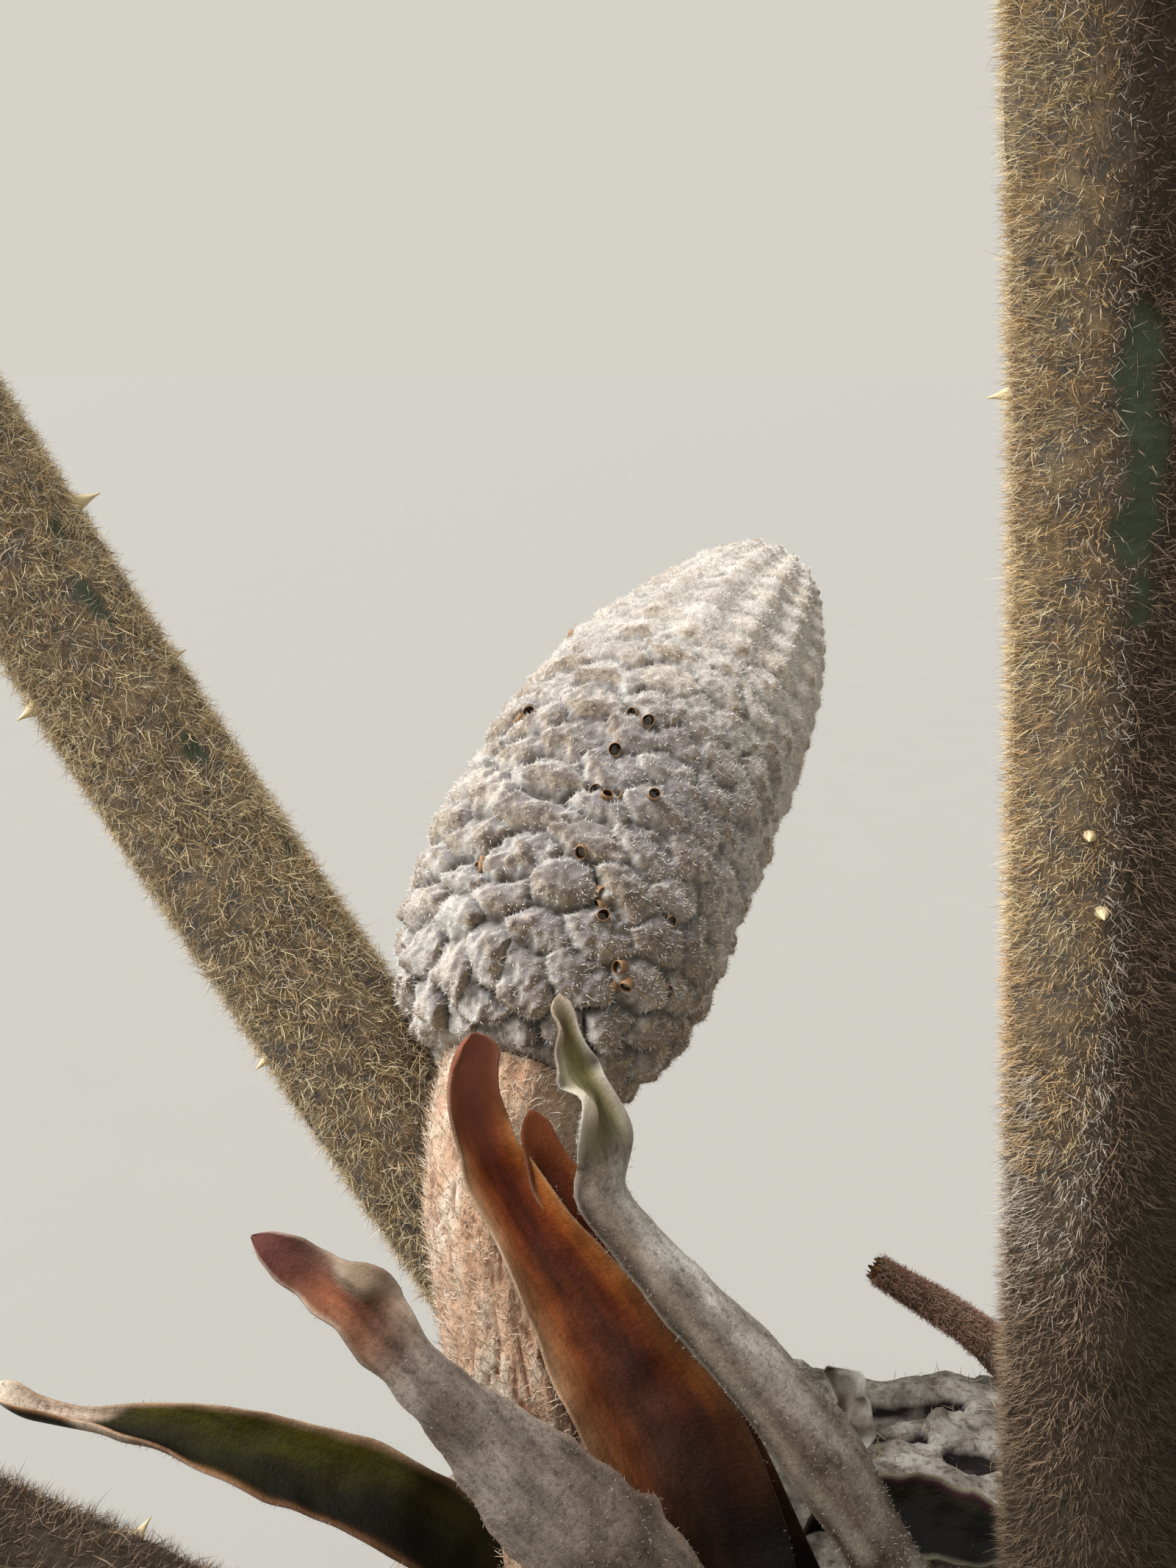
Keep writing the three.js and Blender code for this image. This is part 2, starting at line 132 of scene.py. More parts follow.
# point and direction on a curve with four handles
def curveAt(path, t):
    a, b, c, d = (np.asarray(p, float) for p in path)
    t = np.asarray(t, float)[..., None]
    s = 1 - t
    point = s ** 3 * a + 3 * s * s * t * b + 3 * s * t * t * c + t ** 3 * d
    along = 3 * s * s * (b - a) + 6 * s * t * (c - b) + 3 * t * t * (d - c)
    return point, unit(along)


# even steps of length along a curve with four handles
def evenSteps(path, step):
    fine = np.linspace(0, 1, 400)
    points = curveAt(path, fine)[0]
    run = np.concatenate([[0], np.cumsum(np.linalg.norm(np.diff(points, axis=0), axis=1))])
    return np.interp(np.linspace(0, run[-1], int(run[-1] / step)), run, fine), run[-1]


# directions across a limb: right and up
def limbFrame(along):
    right = unit(np.cross(np.array([0.3, -1, 0.1]), along))
    return right, np.cross(along, right)


# a table of rows that a smooth curve runs through, and its slope
def throughRows(rows, t):
    rows = np.asarray(rows, float)
    x = np.clip(t, 0, 1) * (len(rows) - 1)
    i = np.minimum(np.floor(x).astype(int), len(rows) - 2)
    f = (x - i)[:, None]
    longer = np.concatenate([[2 * rows[0] - rows[1]], rows, [2 * rows[-1] - rows[-2]]])
    a, b, c, d = (longer[i + k] for k in range(4))
    square = 2 * a - 5 * b + 4 * c - d
    cube = 3 * b - a - 3 * c + d
    value = 0.5 * (2 * b + (c - a) * f + square * f * f + cube * f ** 3)
    slope = 0.5 * ((c - a) + 2 * square * f + 3 * cube * f * f)
    return value, slope


# where points of the plant fall in the photograph
def inPhoto(points):
    tilt = math.radians(photoCamera["pitch"])
    away = points - np.array(photoCamera["place"])
    depth = away[..., 1] * math.cos(tilt) - away[..., 2] * math.sin(tilt)
    rise = away[..., 1] * math.sin(tilt) + away[..., 2] * math.cos(tilt)
    u = photoCamera["width"] / 2 + photoCamera["focal"] * away[..., 0] / depth
    return u, photoCamera["height"] / 2 - photoCamera["focal"] * rise / depth


# the place, to a tenth of a millimetre, at a pixel of the photograph and a depth in front of the camera
def fromPhoto(u, v, depth):
    tilt = math.radians(photoCamera["pitch"])
    aside = (u - photoCamera["width"] / 2) * depth / photoCamera["focal"]
    rise = (photoCamera["height"] / 2 - v) * depth / photoCamera["focal"]
    away = (aside, depth * math.cos(tilt) + rise * math.sin(tilt),
            rise * math.cos(tilt) - depth * math.sin(tilt))
    return np.round(np.array(photoCamera["place"]) + away, 1)


# Meshes from arrays

def newPiece():
    return {"points": [], "faces": [], "values": [], "count": 0}


# quads or triangles with one material number, or one for each face, and values that the material reads
def addPart(piece, points, faces, material=0, **values):
    points = np.asarray(points, float).reshape(-1, 3)
    piece["points"].append(points)
    piece["values"].append({k: np.broadcast_to(np.ravel(v), (len(points),)) for k, v in values.items()})
    piece["count"] += len(points)
    addFaces(piece, faces, material, piece["count"] - len(points))


def addFaces(piece, faces, material, first):
    faces = np.asarray(faces, np.int64) + first
    piece["faces"].append((faces, np.broadcast_to(np.asarray(material, np.int32), (len(faces),))))


def finishPiece(piece, name, materials, nodes=(), normals=None):
    points = np.concatenate(piece["points"])
    mesh = bpy.data.meshes.new(name)
    mesh.vertices.add(len(points))
    mesh.vertices.foreach_set("co", (points * mm).astype(np.float32).ravel())
    corners = np.concatenate([f.ravel() for f, _ in piece["faces"]])
    sides = np.concatenate([np.full(len(f), f.shape[1]) for f, _ in piece["faces"]])
    starts = np.concatenate([[0], np.cumsum(sides)[:-1]])
    mesh.loops.add(len(corners))
    mesh.loops.foreach_set("vertex_index", corners.astype(np.int32))
    mesh.polygons.add(len(sides))
    mesh.polygons.foreach_set("loop_start", starts.astype(np.int32))
    for material in materials:
        mesh.materials.append(material)
    numbers = np.concatenate([n for _, n in piece["faces"]])
    mesh.polygons.foreach_set("material_index", numbers.astype(np.int32))
    mesh.update(calc_edges=True)
    mesh.shade_smooth()
    for key in sorted({k for values in piece["values"] for k in values}):
        parts = zip(piece["points"], piece["values"])
        data = np.concatenate([v.get(key, np.zeros(len(p))) for p, v in parts])
        mesh.attributes.new(key, "FLOAT", "POINT").data.foreach_set("value", data.astype(np.float32))
    if normals is not None:
        mesh.normals_split_custom_set_from_vertices(normals.tolist())
    thing = bpy.data.objects.new(name, mesh)
    scene.collection.objects.link(thing)
    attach(thing, "root")
    if nodes:
        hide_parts(*nodes)
    print(f"{name}: {int((sides - 2).sum())} triangles")
    return thing


# quads of a grid of rings that close round
def gridFaces(rings, around):
    i = np.arange(rings - 1)[:, None]
    j = np.arange(around)[None, :]
    k = (j + 1) % around
    corners = [i * around + j, i * around + k, (i + 1) * around + k, (i + 1) * around + j]
    return np.stack(corners, -1).reshape(-1, 4)


# triangles from a ring of points to one middle point
def fanFaces(first, around, middle, flip=False):
    j = first + np.arange(around)
    k = first + (np.arange(around) + 1) % around
    return np.stack([k, j, np.full(around, middle)] if flip else [j, k, np.full(around, middle)], -1)


# a closed tube of rings, with a middle point at each end
def addTube(piece, grid, material=0, capMaterial=None, **values):
    rings, around = grid.shape[:2]
    middles = [grid[0].mean(axis=0), grid[-1].mean(axis=0)]
    longer = {k: np.append(np.ravel(v), [np.ravel(v)[0], np.ravel(v)[-1]]) for k, v in values.items()}
    points = np.concatenate([grid.reshape(-1, 3), middles])
    addPart(piece, points, gridFaces(rings, around), material, **longer)
    first = piece["count"] - len(points)
    cap = material if capMaterial is None else capMaterial
    addFaces(piece, fanFaces(0, around, rings * around, flip=True), cap, first)
    addFaces(piece, fanFaces((rings - 1) * around, around, rings * around + 1), cap, first)


# outward normals of a closed-round grid of points
def gridNormals(grid):
    around = np.roll(grid, -1, axis=1) - np.roll(grid, 1, axis=1)
    return unit(np.cross(around, np.gradient(grid, axis=0)))


# how far each point lies under its neighbours, in millimetres
def hollowness(height, reach):
    blurred = height.copy()
    for _ in range(3):
        for axis in (0, 1):
            total = np.zeros_like(blurred)
            for shift in range(-reach, reach + 1):
                rows = np.clip(np.arange(len(blurred)) + shift, 0, len(blurred) - 1)
                total += np.roll(blurred, shift, axis=1) if axis else blurred[rows]
            blurred = total / (2 * reach + 1)
    return blurred - height


# thin ribbons of three triangles each, bent once, or single straight triangles where look has no bend. A look
# holds lengths, half width and depth of root in mm, the angle above the skin in degrees, and how much a hair
# strays from its lean and from a straight line
def growHairs(piece, roots, normals, lean, look, material):
    count = len(roots)
    low, high = look["length"]
    length = (low + (high - low) * dice.random(count))[:, None]
    width = look["width"] * (0.7 + 0.6 * dice.random(count))[:, None]
    lean = unit(lean - normals * np.sum(lean * normals, axis=1, keepdims=True))
    across = np.cross(normals, lean)
    turn = dice.normal(0, look["spread"], count)[:, None]
    flat = lean * np.cos(turn) + across * np.sin(turn)
    lift = np.radians(look["lift"][0] + (look["lift"][1] - look["lift"][0]) * dice.random(count))[:, None]
    rise = unit(flat * np.cos(lift) + normals * np.sin(lift))
    side = unit(np.cross(rise, dice.normal(0, 1, (count, 3))))
    foot = roots - rise * look["sunk"]
    number = np.broadcast_to(np.asarray(material, np.int32), (count,))
    if not look["bend"]:
        tip = roots + rise * length
        points = np.stack([foot - side * width, foot + side * width, tip], axis=1)
        addPart(piece, points, np.arange(3 * count).reshape(-1, 3), number)
        return
    knee = roots + rise * length * 0.5
    tip = knee + unit(rise + look["bend"] * dice.normal(0, 1, (count, 3))) * length * 0.5
    points = np.stack([foot - side * width, foot + side * width, knee - side * width * 0.8,
                       knee + side * width * 0.8, tip], axis=1)
    corners = np.array([[0, 1, 3], [0, 3, 2], [2, 3, 4]])[None]
    faces = (np.arange(count)[:, None, None] * 5 + corners).reshape(-1, 3)
    addPart(piece, points, faces, np.repeat(number, 3))


# Materials

def colour(code):
    parts = [int(code[i:i + 2], 16) / 255 for i in (1, 3, 5)]
    return (*(c / 12.92 if c <= 0.04045 else ((c + 0.055) / 1.055) ** 2.4 for c in parts), 1.0)


# adds a node, sets its sockets to values, colours or other nodes, and fills a colour ramp's stops
def addNode(tree, kind, inputs=None, stops=None, **settings):
    node = tree.nodes.new(kind)
    for key, value in settings.items():
        setattr(node, key, value)
    for key, value in (inputs or {}).items():
        if isinstance(value, bpy.types.Node):
            tree.links.new(value.outputs[0], node.inputs[key])
        elif isinstance(value, bpy.types.NodeSocket):
            tree.links.new(value, node.inputs[key])
        else:
            node.inputs[key].default_value = colour(value) if isinstance(value, str) else value
    if stops:
        ramp = node.color_ramp.elements
        while len(ramp) < len(stops):
            ramp.new(0.5)
        for element, (place, code) in zip(ramp, stops):
            element.position = place
            element.color = colour(code)
    return node


# a material with its shader's own values set, and the tree, shader and object coordinates to build on
def startMaterial(name, **shader):
    material = bpy.data.materials.new(name)
    material.use_nodes = True
    tree = material.node_tree
    surface = tree.nodes["Principled BSDF"]
    for key, value in shader.items():
        surface.inputs[key.replace("_", " ")].default_value = value
    place = addNode(tree, "ShaderNodeTexCoord").outputs["Object"]
    return material, tree, surface, place


# connects a material's last colour and its bump to its shader
def wireUp(tree, surface, paint, bump):
    tree.links.new(paint.outputs["Color"], surface.inputs["Base Color"])
    tree.links.new(bump.outputs["Normal"], surface.inputs["Normal"])


# Hairs are dead, hollow plant cells, matt with a little shine along their sides: one plain colour each
def hairMaterial(name, code):
    return startMaterial(name, Base_Color=colour(code), Roughness=0.7, Specular_IOR_Level=0.3)[0]


# The pollen cone

cone = {
    "foot": (-30.9, 3.8, 97.8),
    "bend": (-22.9, 23.0, 117.2),
    "tip": (-5.2, 51.9, 130.8),
    "radius": 13.5,
    "widestAt": 0.34,      # share of the length
    "taper": 0.55,         # 0.5 rounds the upper end like an egg, more makes it slimmer
    "stalkShare": 0.44,    # radius at the foot, as a share of the widest
    "columns": 18,
    "rows": 21,
    "rowShrink": 0.975,    # each row is this much shorter than the one below
    "footRun": 1.2,        # bare outline below the first row
    "tipRun": 2.6,
    "around": 384,         # points round it
    "step": 0.235,         # distance between rings
    "splitRow": 9.4,       # where its mesh is cut in two
    "plumpSide": (-0.75, -0.65, 0.1),    # where its cushions are fullest
    "stainSide": (0.85, -0.35, -0.4),    # where painted shade darkens it to ochre near the foot
    "duskSide": (0.28, -0.65, 0.7),      # where painted shade greys its felt to mauve
    "backShadeSide": (-0.1, 0.95, 0.3),       # painted shade greys it here too
    "flatTop": {"rows": (9, 16), "side": (-0.95, -0.1, 0.1), "depth": 1.9},
    # heights of the relief: cushions near the foot, ledges, small bumps near the tip, swellings, broad and
    # small chunks, crests and crumbs, grain, and how far under the outline each of the first three starts
    "relief": {"plump": 1.85, "ledge": 1.28, "bump": 1.3, "swelling": 0.3, "chunks": (0.26, 0.16),
               "crumbs": (0.13, 0.16), "grain": 0.17, "sunk": (1.6, 1.0, 0.6)},
    # open pollen sacs: pixels across and down in the photograph
    "sacsInPhoto": [(865, 970), (882, 980), (836, 1016), (811, 1075), (822, 1085), (835, 1097),
                    (890, 1085), (655, 1075), (658, 1185), (670, 1180), (793, 1157), (816, 1210),
                    (821, 1228), (818, 1248), (913, 1251), (961, 1297), (846, 1315), (854, 1335),
                    (838, 1342), (900, 1348), (915, 1353)],
    "sac": {"radius": 0.55, "height": 0.8, "sunk": 0.14},
    # half profile of a sac, outside to inside: share of its radius, share of its height, how deep inside
    "sacProfile": [(0.55, -0.5, 0.0), (0.92, 0.1, 0.1), (1.0, 0.7, 0.2), (0.97, 1.0, 0.35),
                   (0.89, 0.98, 0.45), (0.85, 0.7, 0.7), (0.75, 0.1, 1.0), (0.4, -0.1, 1.0)],
    "sacAround": 14,
    "otherSacs": 46,       # the same kind on the sides that the photograph doesn't show
    "fuzz": {"length": (0.15, 0.46), "width": 0.021, "lift": (35, 90), "spread": 2.0, "bend": 0,
             "sunk": 0.06},
    "fuzzCount": 128000,
    "fuzzShares": [0.6, 0.24, 0.16],     # cream, grey, ochre
}


def coneAxisTables():
    t = np.linspace(0, 1, 600)[:, None]
    a, b, c = (np.array(cone[k], float) for k in ("foot", "bend", "tip"))
    points = (1 - t) ** 2 * a + 2 * t * (1 - t) * b + t ** 2 * c
    along = unit(2 * (1 - t) * (b - a) + 2 * t * (c - b))
    run = np.concatenate([[0], np.cumsum(np.linalg.norm(np.diff(points, axis=0), axis=1))])
    return points, along, run / run[-1], run[-1], unit(np.cross(along[0], along[-1]))


axisPoints, axisAlong, axisShare, coneLength, coneSide = coneAxisTables()


def coneOutline():
    share = (1 - np.cos(np.pi * np.linspace(0, 1, 600))) / 2
    below = np.clip((cone["widestAt"] - share) / cone["widestAt"], 0, 1)
    above = np.clip((share - cone["widestAt"]) / (1 - cone["widestAt"]), 0, 1)
    low = cone["stalkShare"] + (1 - cone["stalkShare"]) * np.sqrt(1 - below ** 3)
    radius = cone["radius"] * np.where(share < cone["widestAt"], low, (1 - above ** 2) ** cone["taper"])
    run = np.concatenate([[0], np.cumsum(np.hypot(np.diff(share) * coneLength, np.diff(radius)))])
    return share, radius, run, np.gradient(share * coneLength, run), -np.gradient(radius, run)


outlineShare, outlineRadius, outlineRun, outlineOut, outlineForward = coneOutline()
coneRun = outlineRun[-1]
rowSpan = 1 - cone["rowShrink"] ** (cone["rows"] + 0.5)
rowsRun = coneRun - cone["footRun"] - cone["tipRun"]


def rowAt(run):
    share = np.minimum((run - cone["footRun"]) / rowsRun, 1.02)
    return np.log(1 - share * rowSpan) / math.log(cone["rowShrink"]) - 0.5


# place and outward direction on the cone's smooth outline
def conePlace(angle, run):
    share, radius, outward, forward = (np.interp(run, outlineRun, table) for table in
                                       (outlineShare, outlineRadius, outlineOut, outlineForward))
    middle = np.stack([np.interp(share, axisShare, axisPoints[:, k]) for k in range(3)], -1)
    along = unit(np.stack([np.interp(share, axisShare, axisAlong[:, k]) for k in range(3)], -1))
    out = np.cross(coneSide, along) * np.cos(angle)[..., None] + coneSide * np.sin(angle)[..., None]
    normal = unit(out * outward[..., None] + along * forward[..., None])
    return middle + out * radius[..., None], normal


# six-sided cells in upright columns: distance from the middle (1 at the edge), place in the cell, which cell
def hexCell(column, row):
    best = None
    for dc in (0, 1):
        c = np.floor(column) + dc
        offset = np.where(c % 2 == 1, 0.5, 0.0)
        k = np.round(row - offset)
        dx, dr = column - c, row - offset - k
        edge = np.maximum(2 * np.abs(dr), 1.5 * np.abs(dx) + np.abs(dr))
        found = [edge, dx, dr, c % cone["columns"], k]
        nearer = None if best is None else edge < best[0]
        best = found if best is None else [np.where(nearer, f, b) for f, b in zip(found, best)]
    return best


# a ridge across the scale below its middle: a long slope towards the tip, a short steep one towards the foot
def roof(dr, ridge, up, down):
    q = dr - ridge
    return 1 - (up - down) / 2 * q - (up + down) / 2 * np.sqrt(q * q + 0.004)


def coneHeights(points, normals, angle, run):
    row = rowAt(run)
    column = angle / (2 * np.pi) * cone["columns"]
    front = smoothStep(-0.3, 0.7, towards(normals, cone["plumpSide"]))
    low = smoothStep(4.2 + 2.4 * front, 2.0 + 2.4 * front, row)   # plump cushions near the foot
    ribbed = smoothStep(8.0, 12.0, row)    # small bumps on upright ribs near the tip
    middle = 1 - np.maximum(low, ribbed)   # ragged overlapping ledges between them
    swell = 0.65 + 0.35 * front
    loose = 1 - 0.85 * ribbed
    column = column + loose * (0.24 * lumps(points, 5.0, 3) + 0.12 * lumps(points, 2.0, 5))
    row = row + loose * (0.26 * lumps(points, 4.8, 4) + (0.1 + 0.08 * middle) * lumps(points, 1.8, 6))
    edge, dx, dr, c, k = hexCell(column, row)
    c, k = c.astype(np.int64), k.astype(np.int64)
    pick = [cellChance(c, k, np.int64(5), seed) for seed in range(5)]
    cushion = np.maximum(1 - edge ** 4, 0) ** 0.6
    grown = smoothStep(-0.3, 0.3, lumps(points, 5.5, 15))   # where neighbours have grown together
    tilt = (pick[0] - 0.5) * dx * 0.8 + (pick[1] - 0.5) * dr * 0.6
    face = 0.42 + 0.62 * roof(dr, -0.14, 1.3, 2.6) * (0.7 + 0.6 * pick[2]) + tilt
    relief = cone["relief"]
    plump = relief["plump"] * swell * face * (1 - (1 - 0.75 * grown) * (1 - cushion))
    shelf = 0.25 + 0.75 * roof(dr, -0.24, 1.1, 3.6) * (0.7 + 0.6 * pick[2]) + 0.6 * tilt
    ledge = relief["ledge"] * swell * shelf * (0.7 + 0.3 * cushion)
    rib = np.cos(np.pi * (column - np.round(column))) ** 2
    cap = 0.3 + 0.6 * roof(dr, -0.22, 0.9, 3.4) * (0.85 + 0.3 * pick[2])
    bumps = relief["bump"] * (0.4 + 0.6 * rib) * cap
    swelling = relief["swelling"] * loose * lumps(points, 3.1, 17)
    height = low * plump + middle * ledge + ribbed * bumps + swelling
    broad, small = relief["chunks"]
    chunks = broad * facets(points, 1.9, 11) + small * facets(points, 0.95, 16)
    crest, crumb = relief["crumbs"]
    crumbs = crest * np.maximum(ridges(points, 1.3, 12), 0) + crumb * lumps(points, 0.75, 13)
    grain = relief["grain"] * lumps(points, 0.48, 14)
    settle = smoothStep(0, cone["footRun"], run) * smoothStep(0, 2.2, coneRun - run)
    flat = cone["flatTop"]
    upper = smoothStep(*flat["rows"], row) * smoothStep(0, 1, towards(normals, flat["side"]))
    sunk = relief["sunk"]
    depth = sunk[0] * swell * low + sunk[1] * middle + sunk[2] * ribbed + flat["depth"] * upper
    rough = (chunks + crumbs) * (1 - 0.2 * middle) * (1 - 0.85 * ribbed) + grain * (1 - 0.5 * ribbed)
    return (height - depth + rough) * settle, pick[3]


def makeConeGrid():
    run = np.linspace(0, coneRun - 0.12, int(coneRun / cone["step"]))
    angle = np.arange(cone["around"]) / cone["around"] * 2 * np.pi
    runs, angles = np.meshgrid(run, angle, indexing="ij")
    base, normal = conePlace(angles, runs)
    height, chance = coneHeights(base, normal, angles, runs)
    return base + normal * height[..., None], runs, height, chance


# Dead cone scales under a velvet of short hairs: matt, cream on their upper faces, ochre and brown where the
# velvet has worn off on crests and on the faces that look to the foot; painted shade greys them to mauve on
# the front and back, darkens their hollows and lower right side, and makes the gaps nearly black
def coneFeltMaterial():
    material, tree, surface, place = startMaterial("dryConeScaleFelt", Roughness=0.95, Sheen_Weight=0.45,
                                                   Sheen_Roughness=0.55, Specular_IOR_Level=0.12)
    values = {k: addNode(tree, "ShaderNodeAttribute", attribute_name=k).outputs["Fac"]
              for k in ("hollow", "gap", "worn", "chance", "age", "stain")}
    patch = addNode(tree, "ShaderNodeTexNoise", {"Vector": place, "Scale": 1 / (5 * mm), "Detail": 5.0})
    felt = addNode(tree, "ShaderNodeValToRGB", {"Fac": patch},
                   [(0.34, "#d8cfc9"), (0.46, "#e9e2d9"), (0.6, "#f8f2e8"), (0.7, "#e2e3dd")])
    tint = addNode(tree, "ShaderNodeValToRGB", {"Fac": values["chance"]},
                   [(0.0, "#e6e2de"), (0.5, "#ffffff"), (1.0, "#f6eee2")])
    felt = addNode(tree, "ShaderNodeMixRGB", {"Fac": 1.0, "Color1": felt, "Color2": tint},
                   blend_type="MULTIPLY")
    # felt grains of 0.1 mm are drawn 0.4 mm wide, so that they show
    grain = addNode(tree, "ShaderNodeTexNoise", {"Vector": place, "Scale": 1 / (0.4 * mm), "Detail": 8.0,
                                                 "Roughness": 0.85})
    wear = addNode(tree, "ShaderNodeMath", {0: values["worn"], 1: grain}, operation="ADD")
    worn = addNode(tree, "ShaderNodeValToRGB", {"Fac": wear}, [(0.74, "#000000"), (1.06, "#e6e6e6")])
    ochre = addNode(tree, "ShaderNodeValToRGB", {"Fac": grain},
                    [(0.38, "#634a33"), (0.48, "#9c805f"), (0.6, "#cbb592")])
    felt = addNode(tree, "ShaderNodeMixRGB", {"Fac": worn, "Color1": felt, "Color2": ochre})
    speck = addNode(tree, "ShaderNodeValToRGB", {"Fac": grain},
                    [(0.34, "#86705c"), (0.46, "#cfc4ba"), (0.56, "#ffffff")])
    felt = addNode(tree, "ShaderNodeMixRGB", {"Fac": 0.65, "Color1": felt, "Color2": speck},
                   blend_type="MULTIPLY")
    # painted shade: darker and greyer in the hollows
    shade = addNode(tree, "ShaderNodeValToRGB", {"Fac": values["hollow"]},
                    [(0.5, "#ffffff"), (0.64, "#d5d8dc"), (0.9, "#9a938f")])
    felt = addNode(tree, "ShaderNodeMixRGB", {"Fac": 1.0, "Color1": felt, "Color2": shade},
                   blend_type="MULTIPLY")
    # painted shade: grey-mauve on the front and back, ochre-dark low on the right side
    for key, code in (("age", "#a7a2ab"), ("stain", "#c3ab82")):
        felt = addNode(tree, "ShaderNodeMixRGB", {"Fac": values[key], "Color1": felt, "Color2": code},
                       blend_type="MULTIPLY")
    # painted shade: nearly black in the gaps between the cushions near the foot
    felt = addNode(tree, "ShaderNodeMixRGB", {"Fac": values["gap"], "Color1": felt, "Color2": "#33281e"})
    bump = addNode(tree, "ShaderNodeBump", {"Height": grain, "Strength": 1.0, "Distance": 0.3 * mm})
    wireUp(tree, surface, felt, bump)
    return material


# what the felt's colours follow, from 0 to 1: hollows, gaps, worn crests and slopes, ochre and grey painted
# shade
def coneValues(grid, normals, runs, height):
    row = rowAt(runs)
    slope = 0.45 * smoothStep(0.0, 1.2, np.gradient(height, axis=0) / cone["step"])
    crest = 0.62 * smoothStep(0.02, 0.35, -hollowness(height, 4))
    worn = (slope + crest) * smoothStep(-0.7, 0.3, lumps(grid, 3.5, 18)) * (1 - 0.45 * smoothStep(9, 13, row))
    # painted shade, grey-mauve: on the front above the foot, and on the back
    dusk = smoothStep(10.5, 5.5, row) * smoothStep(0.5, 0.97, towards(normals, cone["duskSide"]))
    back = 0.7 * smoothStep(0.25, 0.75, towards(normals, cone["backShadeSide"]))
    # painted shade: hollow darkens the felt in its hollows
    return {"hollow": np.clip(0.5 + hollowness(height, 3) * 0.8, 0, 1),
            "gap": smoothStep(0.6, 1.15, hollowness(height, 9)) * smoothStep(10, 5, row),
            "worn": worn,
            # painted shade: ochre-dark low on the right side
            "stain": smoothStep(6.0, 1.5, row) * smoothStep(0.0, 0.7, towards(normals, cone["stainSide"])),
            "age": np.maximum(dusk, back)}


def makeCone():
    grid, runs, height, chance = makeConeGrid()
    normals = gridNormals(grid)
    values = {**coneValues(grid, normals, runs, height), "chance": chance}
    felt = coneFeltMaterial()
    split = int(np.searchsorted(rowAt(runs[:, 0]), cone["splitRow"]))
    for name, part in (("cone_lower", slice(0, split + 1)), ("cone_upper", slice(split, len(grid)))):
        piece = newPiece()
        addTube(piece, grid[part], **{key: value[part] for key, value in values.items()})
        ends = [-normals[part][0].mean(axis=0), normals[part][-1].mean(axis=0)]
        outward = unit(np.concatenate([normals[part].reshape(-1, 3), ends]))
        finishPiece(piece, name, [felt], ["pollen_cone"], outward)
    return grid, normals, runs, height


coneGrid, coneNormals, coneRuns, coneHeight = makeCone()


# Empty pollen sacs, split open: thin papery cups, tan outside, dark brown inside with painted shade
def sacMaterial():
    material, tree, surface = startMaterial("pollenSacWall", Roughness=0.6, Specular_IOR_Level=0.35)[:3]
    deep = addNode(tree, "ShaderNodeAttribute", attribute_name="deep").outputs["Fac"]
    # painted shade: the inside darkens to near black towards its bottom
    wall = addNode(tree, "ShaderNodeValToRGB", {"Fac": deep},
                   [(0.0, "#75583d"), (0.35, "#94714f"), (0.6, "#4a2c18"), (1.0, "#1c120b")])
    tree.links.new(wall.outputs["Color"], surface.inputs["Base Color"])
    return material


def makeSacs():
    u, v = inPhoto(coneGrid)
    sacPixels = 18       # a sac's width in the photograph
    seen = np.sum(coneNormals * (np.array(photoCamera["place"]) - coneGrid), axis=-1) > 0
    low = coneHeight - coneHeight.mean(axis=1, keepdims=True)
    spots = []
    for column, row in cone["sacsInPhoto"]:
        cost = np.where(seen, np.hypot(u - column, v - row) / sacPixels + 0.5 * low, 1e6)
        spots.append(np.unravel_index(np.argmin(cost), cost.shape))
    while len(spots) < len(cone["sacsInPhoto"]) + cone["otherSacs"]:
        i = int(dice.integers(40, int(len(coneGrid) * 0.6)))
        j = int(dice.integers(0, cone["around"]))
        if not seen[i, j] and low[i, j] < -0.3:
            spots += [(i, j), (i + 2, (j + 4) % cone["around"])]
    around, look, profile = cone["sacAround"], cone["sac"], cone["sacProfile"]
    piece = newPiece()
    angle = np.arange(around) / around * 2 * np.pi
    for i, j in spots:
        down = unit(coneGrid[max(i - 6, 0), j] - coneGrid[min(i + 6, len(coneGrid) - 1), j])
        axis = unit(coneNormals[i, j] + 0.35 * down + 0.3 * dice.normal(0, 1, 3))
        right, up = limbFrame(axis)
        ring = np.cos(angle)[:, None] * right + np.sin(angle)[:, None] * up * (0.75 + 0.2 * dice.random())
        size = look["radius"] * (0.85 + 0.3 * dice.random())
        foot = coneGrid[i, j] - axis * look["sunk"]
        grid = np.array([foot + ring * size * r + axis * look["height"] * h for r, h, _ in profile])
        addTube(piece, grid, deep=np.repeat([d for _, _, d in profile], around))
    finishPiece(piece, "cone_pollen_sacs", [sacMaterial()])


makeSacs()


def makeConeFuzz():
    around, count = cone["around"], cone["fuzzCount"]
    ring = np.interp(coneRuns[:, 0], outlineRun, outlineRadius)
    i = dice.choice(len(ring), count, p=ring / ring.sum())
    j = dice.integers(0, around, count)
    proud = hollowness(coneHeight, 5)[i, j] < 0.3   # none in the gaps
    i, j = i[proud], j[proud]
    roots = coneGrid[i, j] + dice.normal(0, 0.06, (len(i), 3))
    piece = newPiece()
    looks = [hairMaterial("coneHairCream", "#f0ebe3"), hairMaterial("coneHairGrey", "#d4cec8"),
             hairMaterial("coneHairOchre", "#b79c77")]
    growHairs(piece, roots, coneNormals[i, j], dice.normal(0, 1, (len(i), 3)), cone["fuzz"],
              dice.choice(len(looks), len(i), p=cone["fuzzShares"]))
    finishPiece(piece, "cone_fuzz", looks)


makeConeFuzz()


# Leaf stalks, and the thin old stalk behind the cone

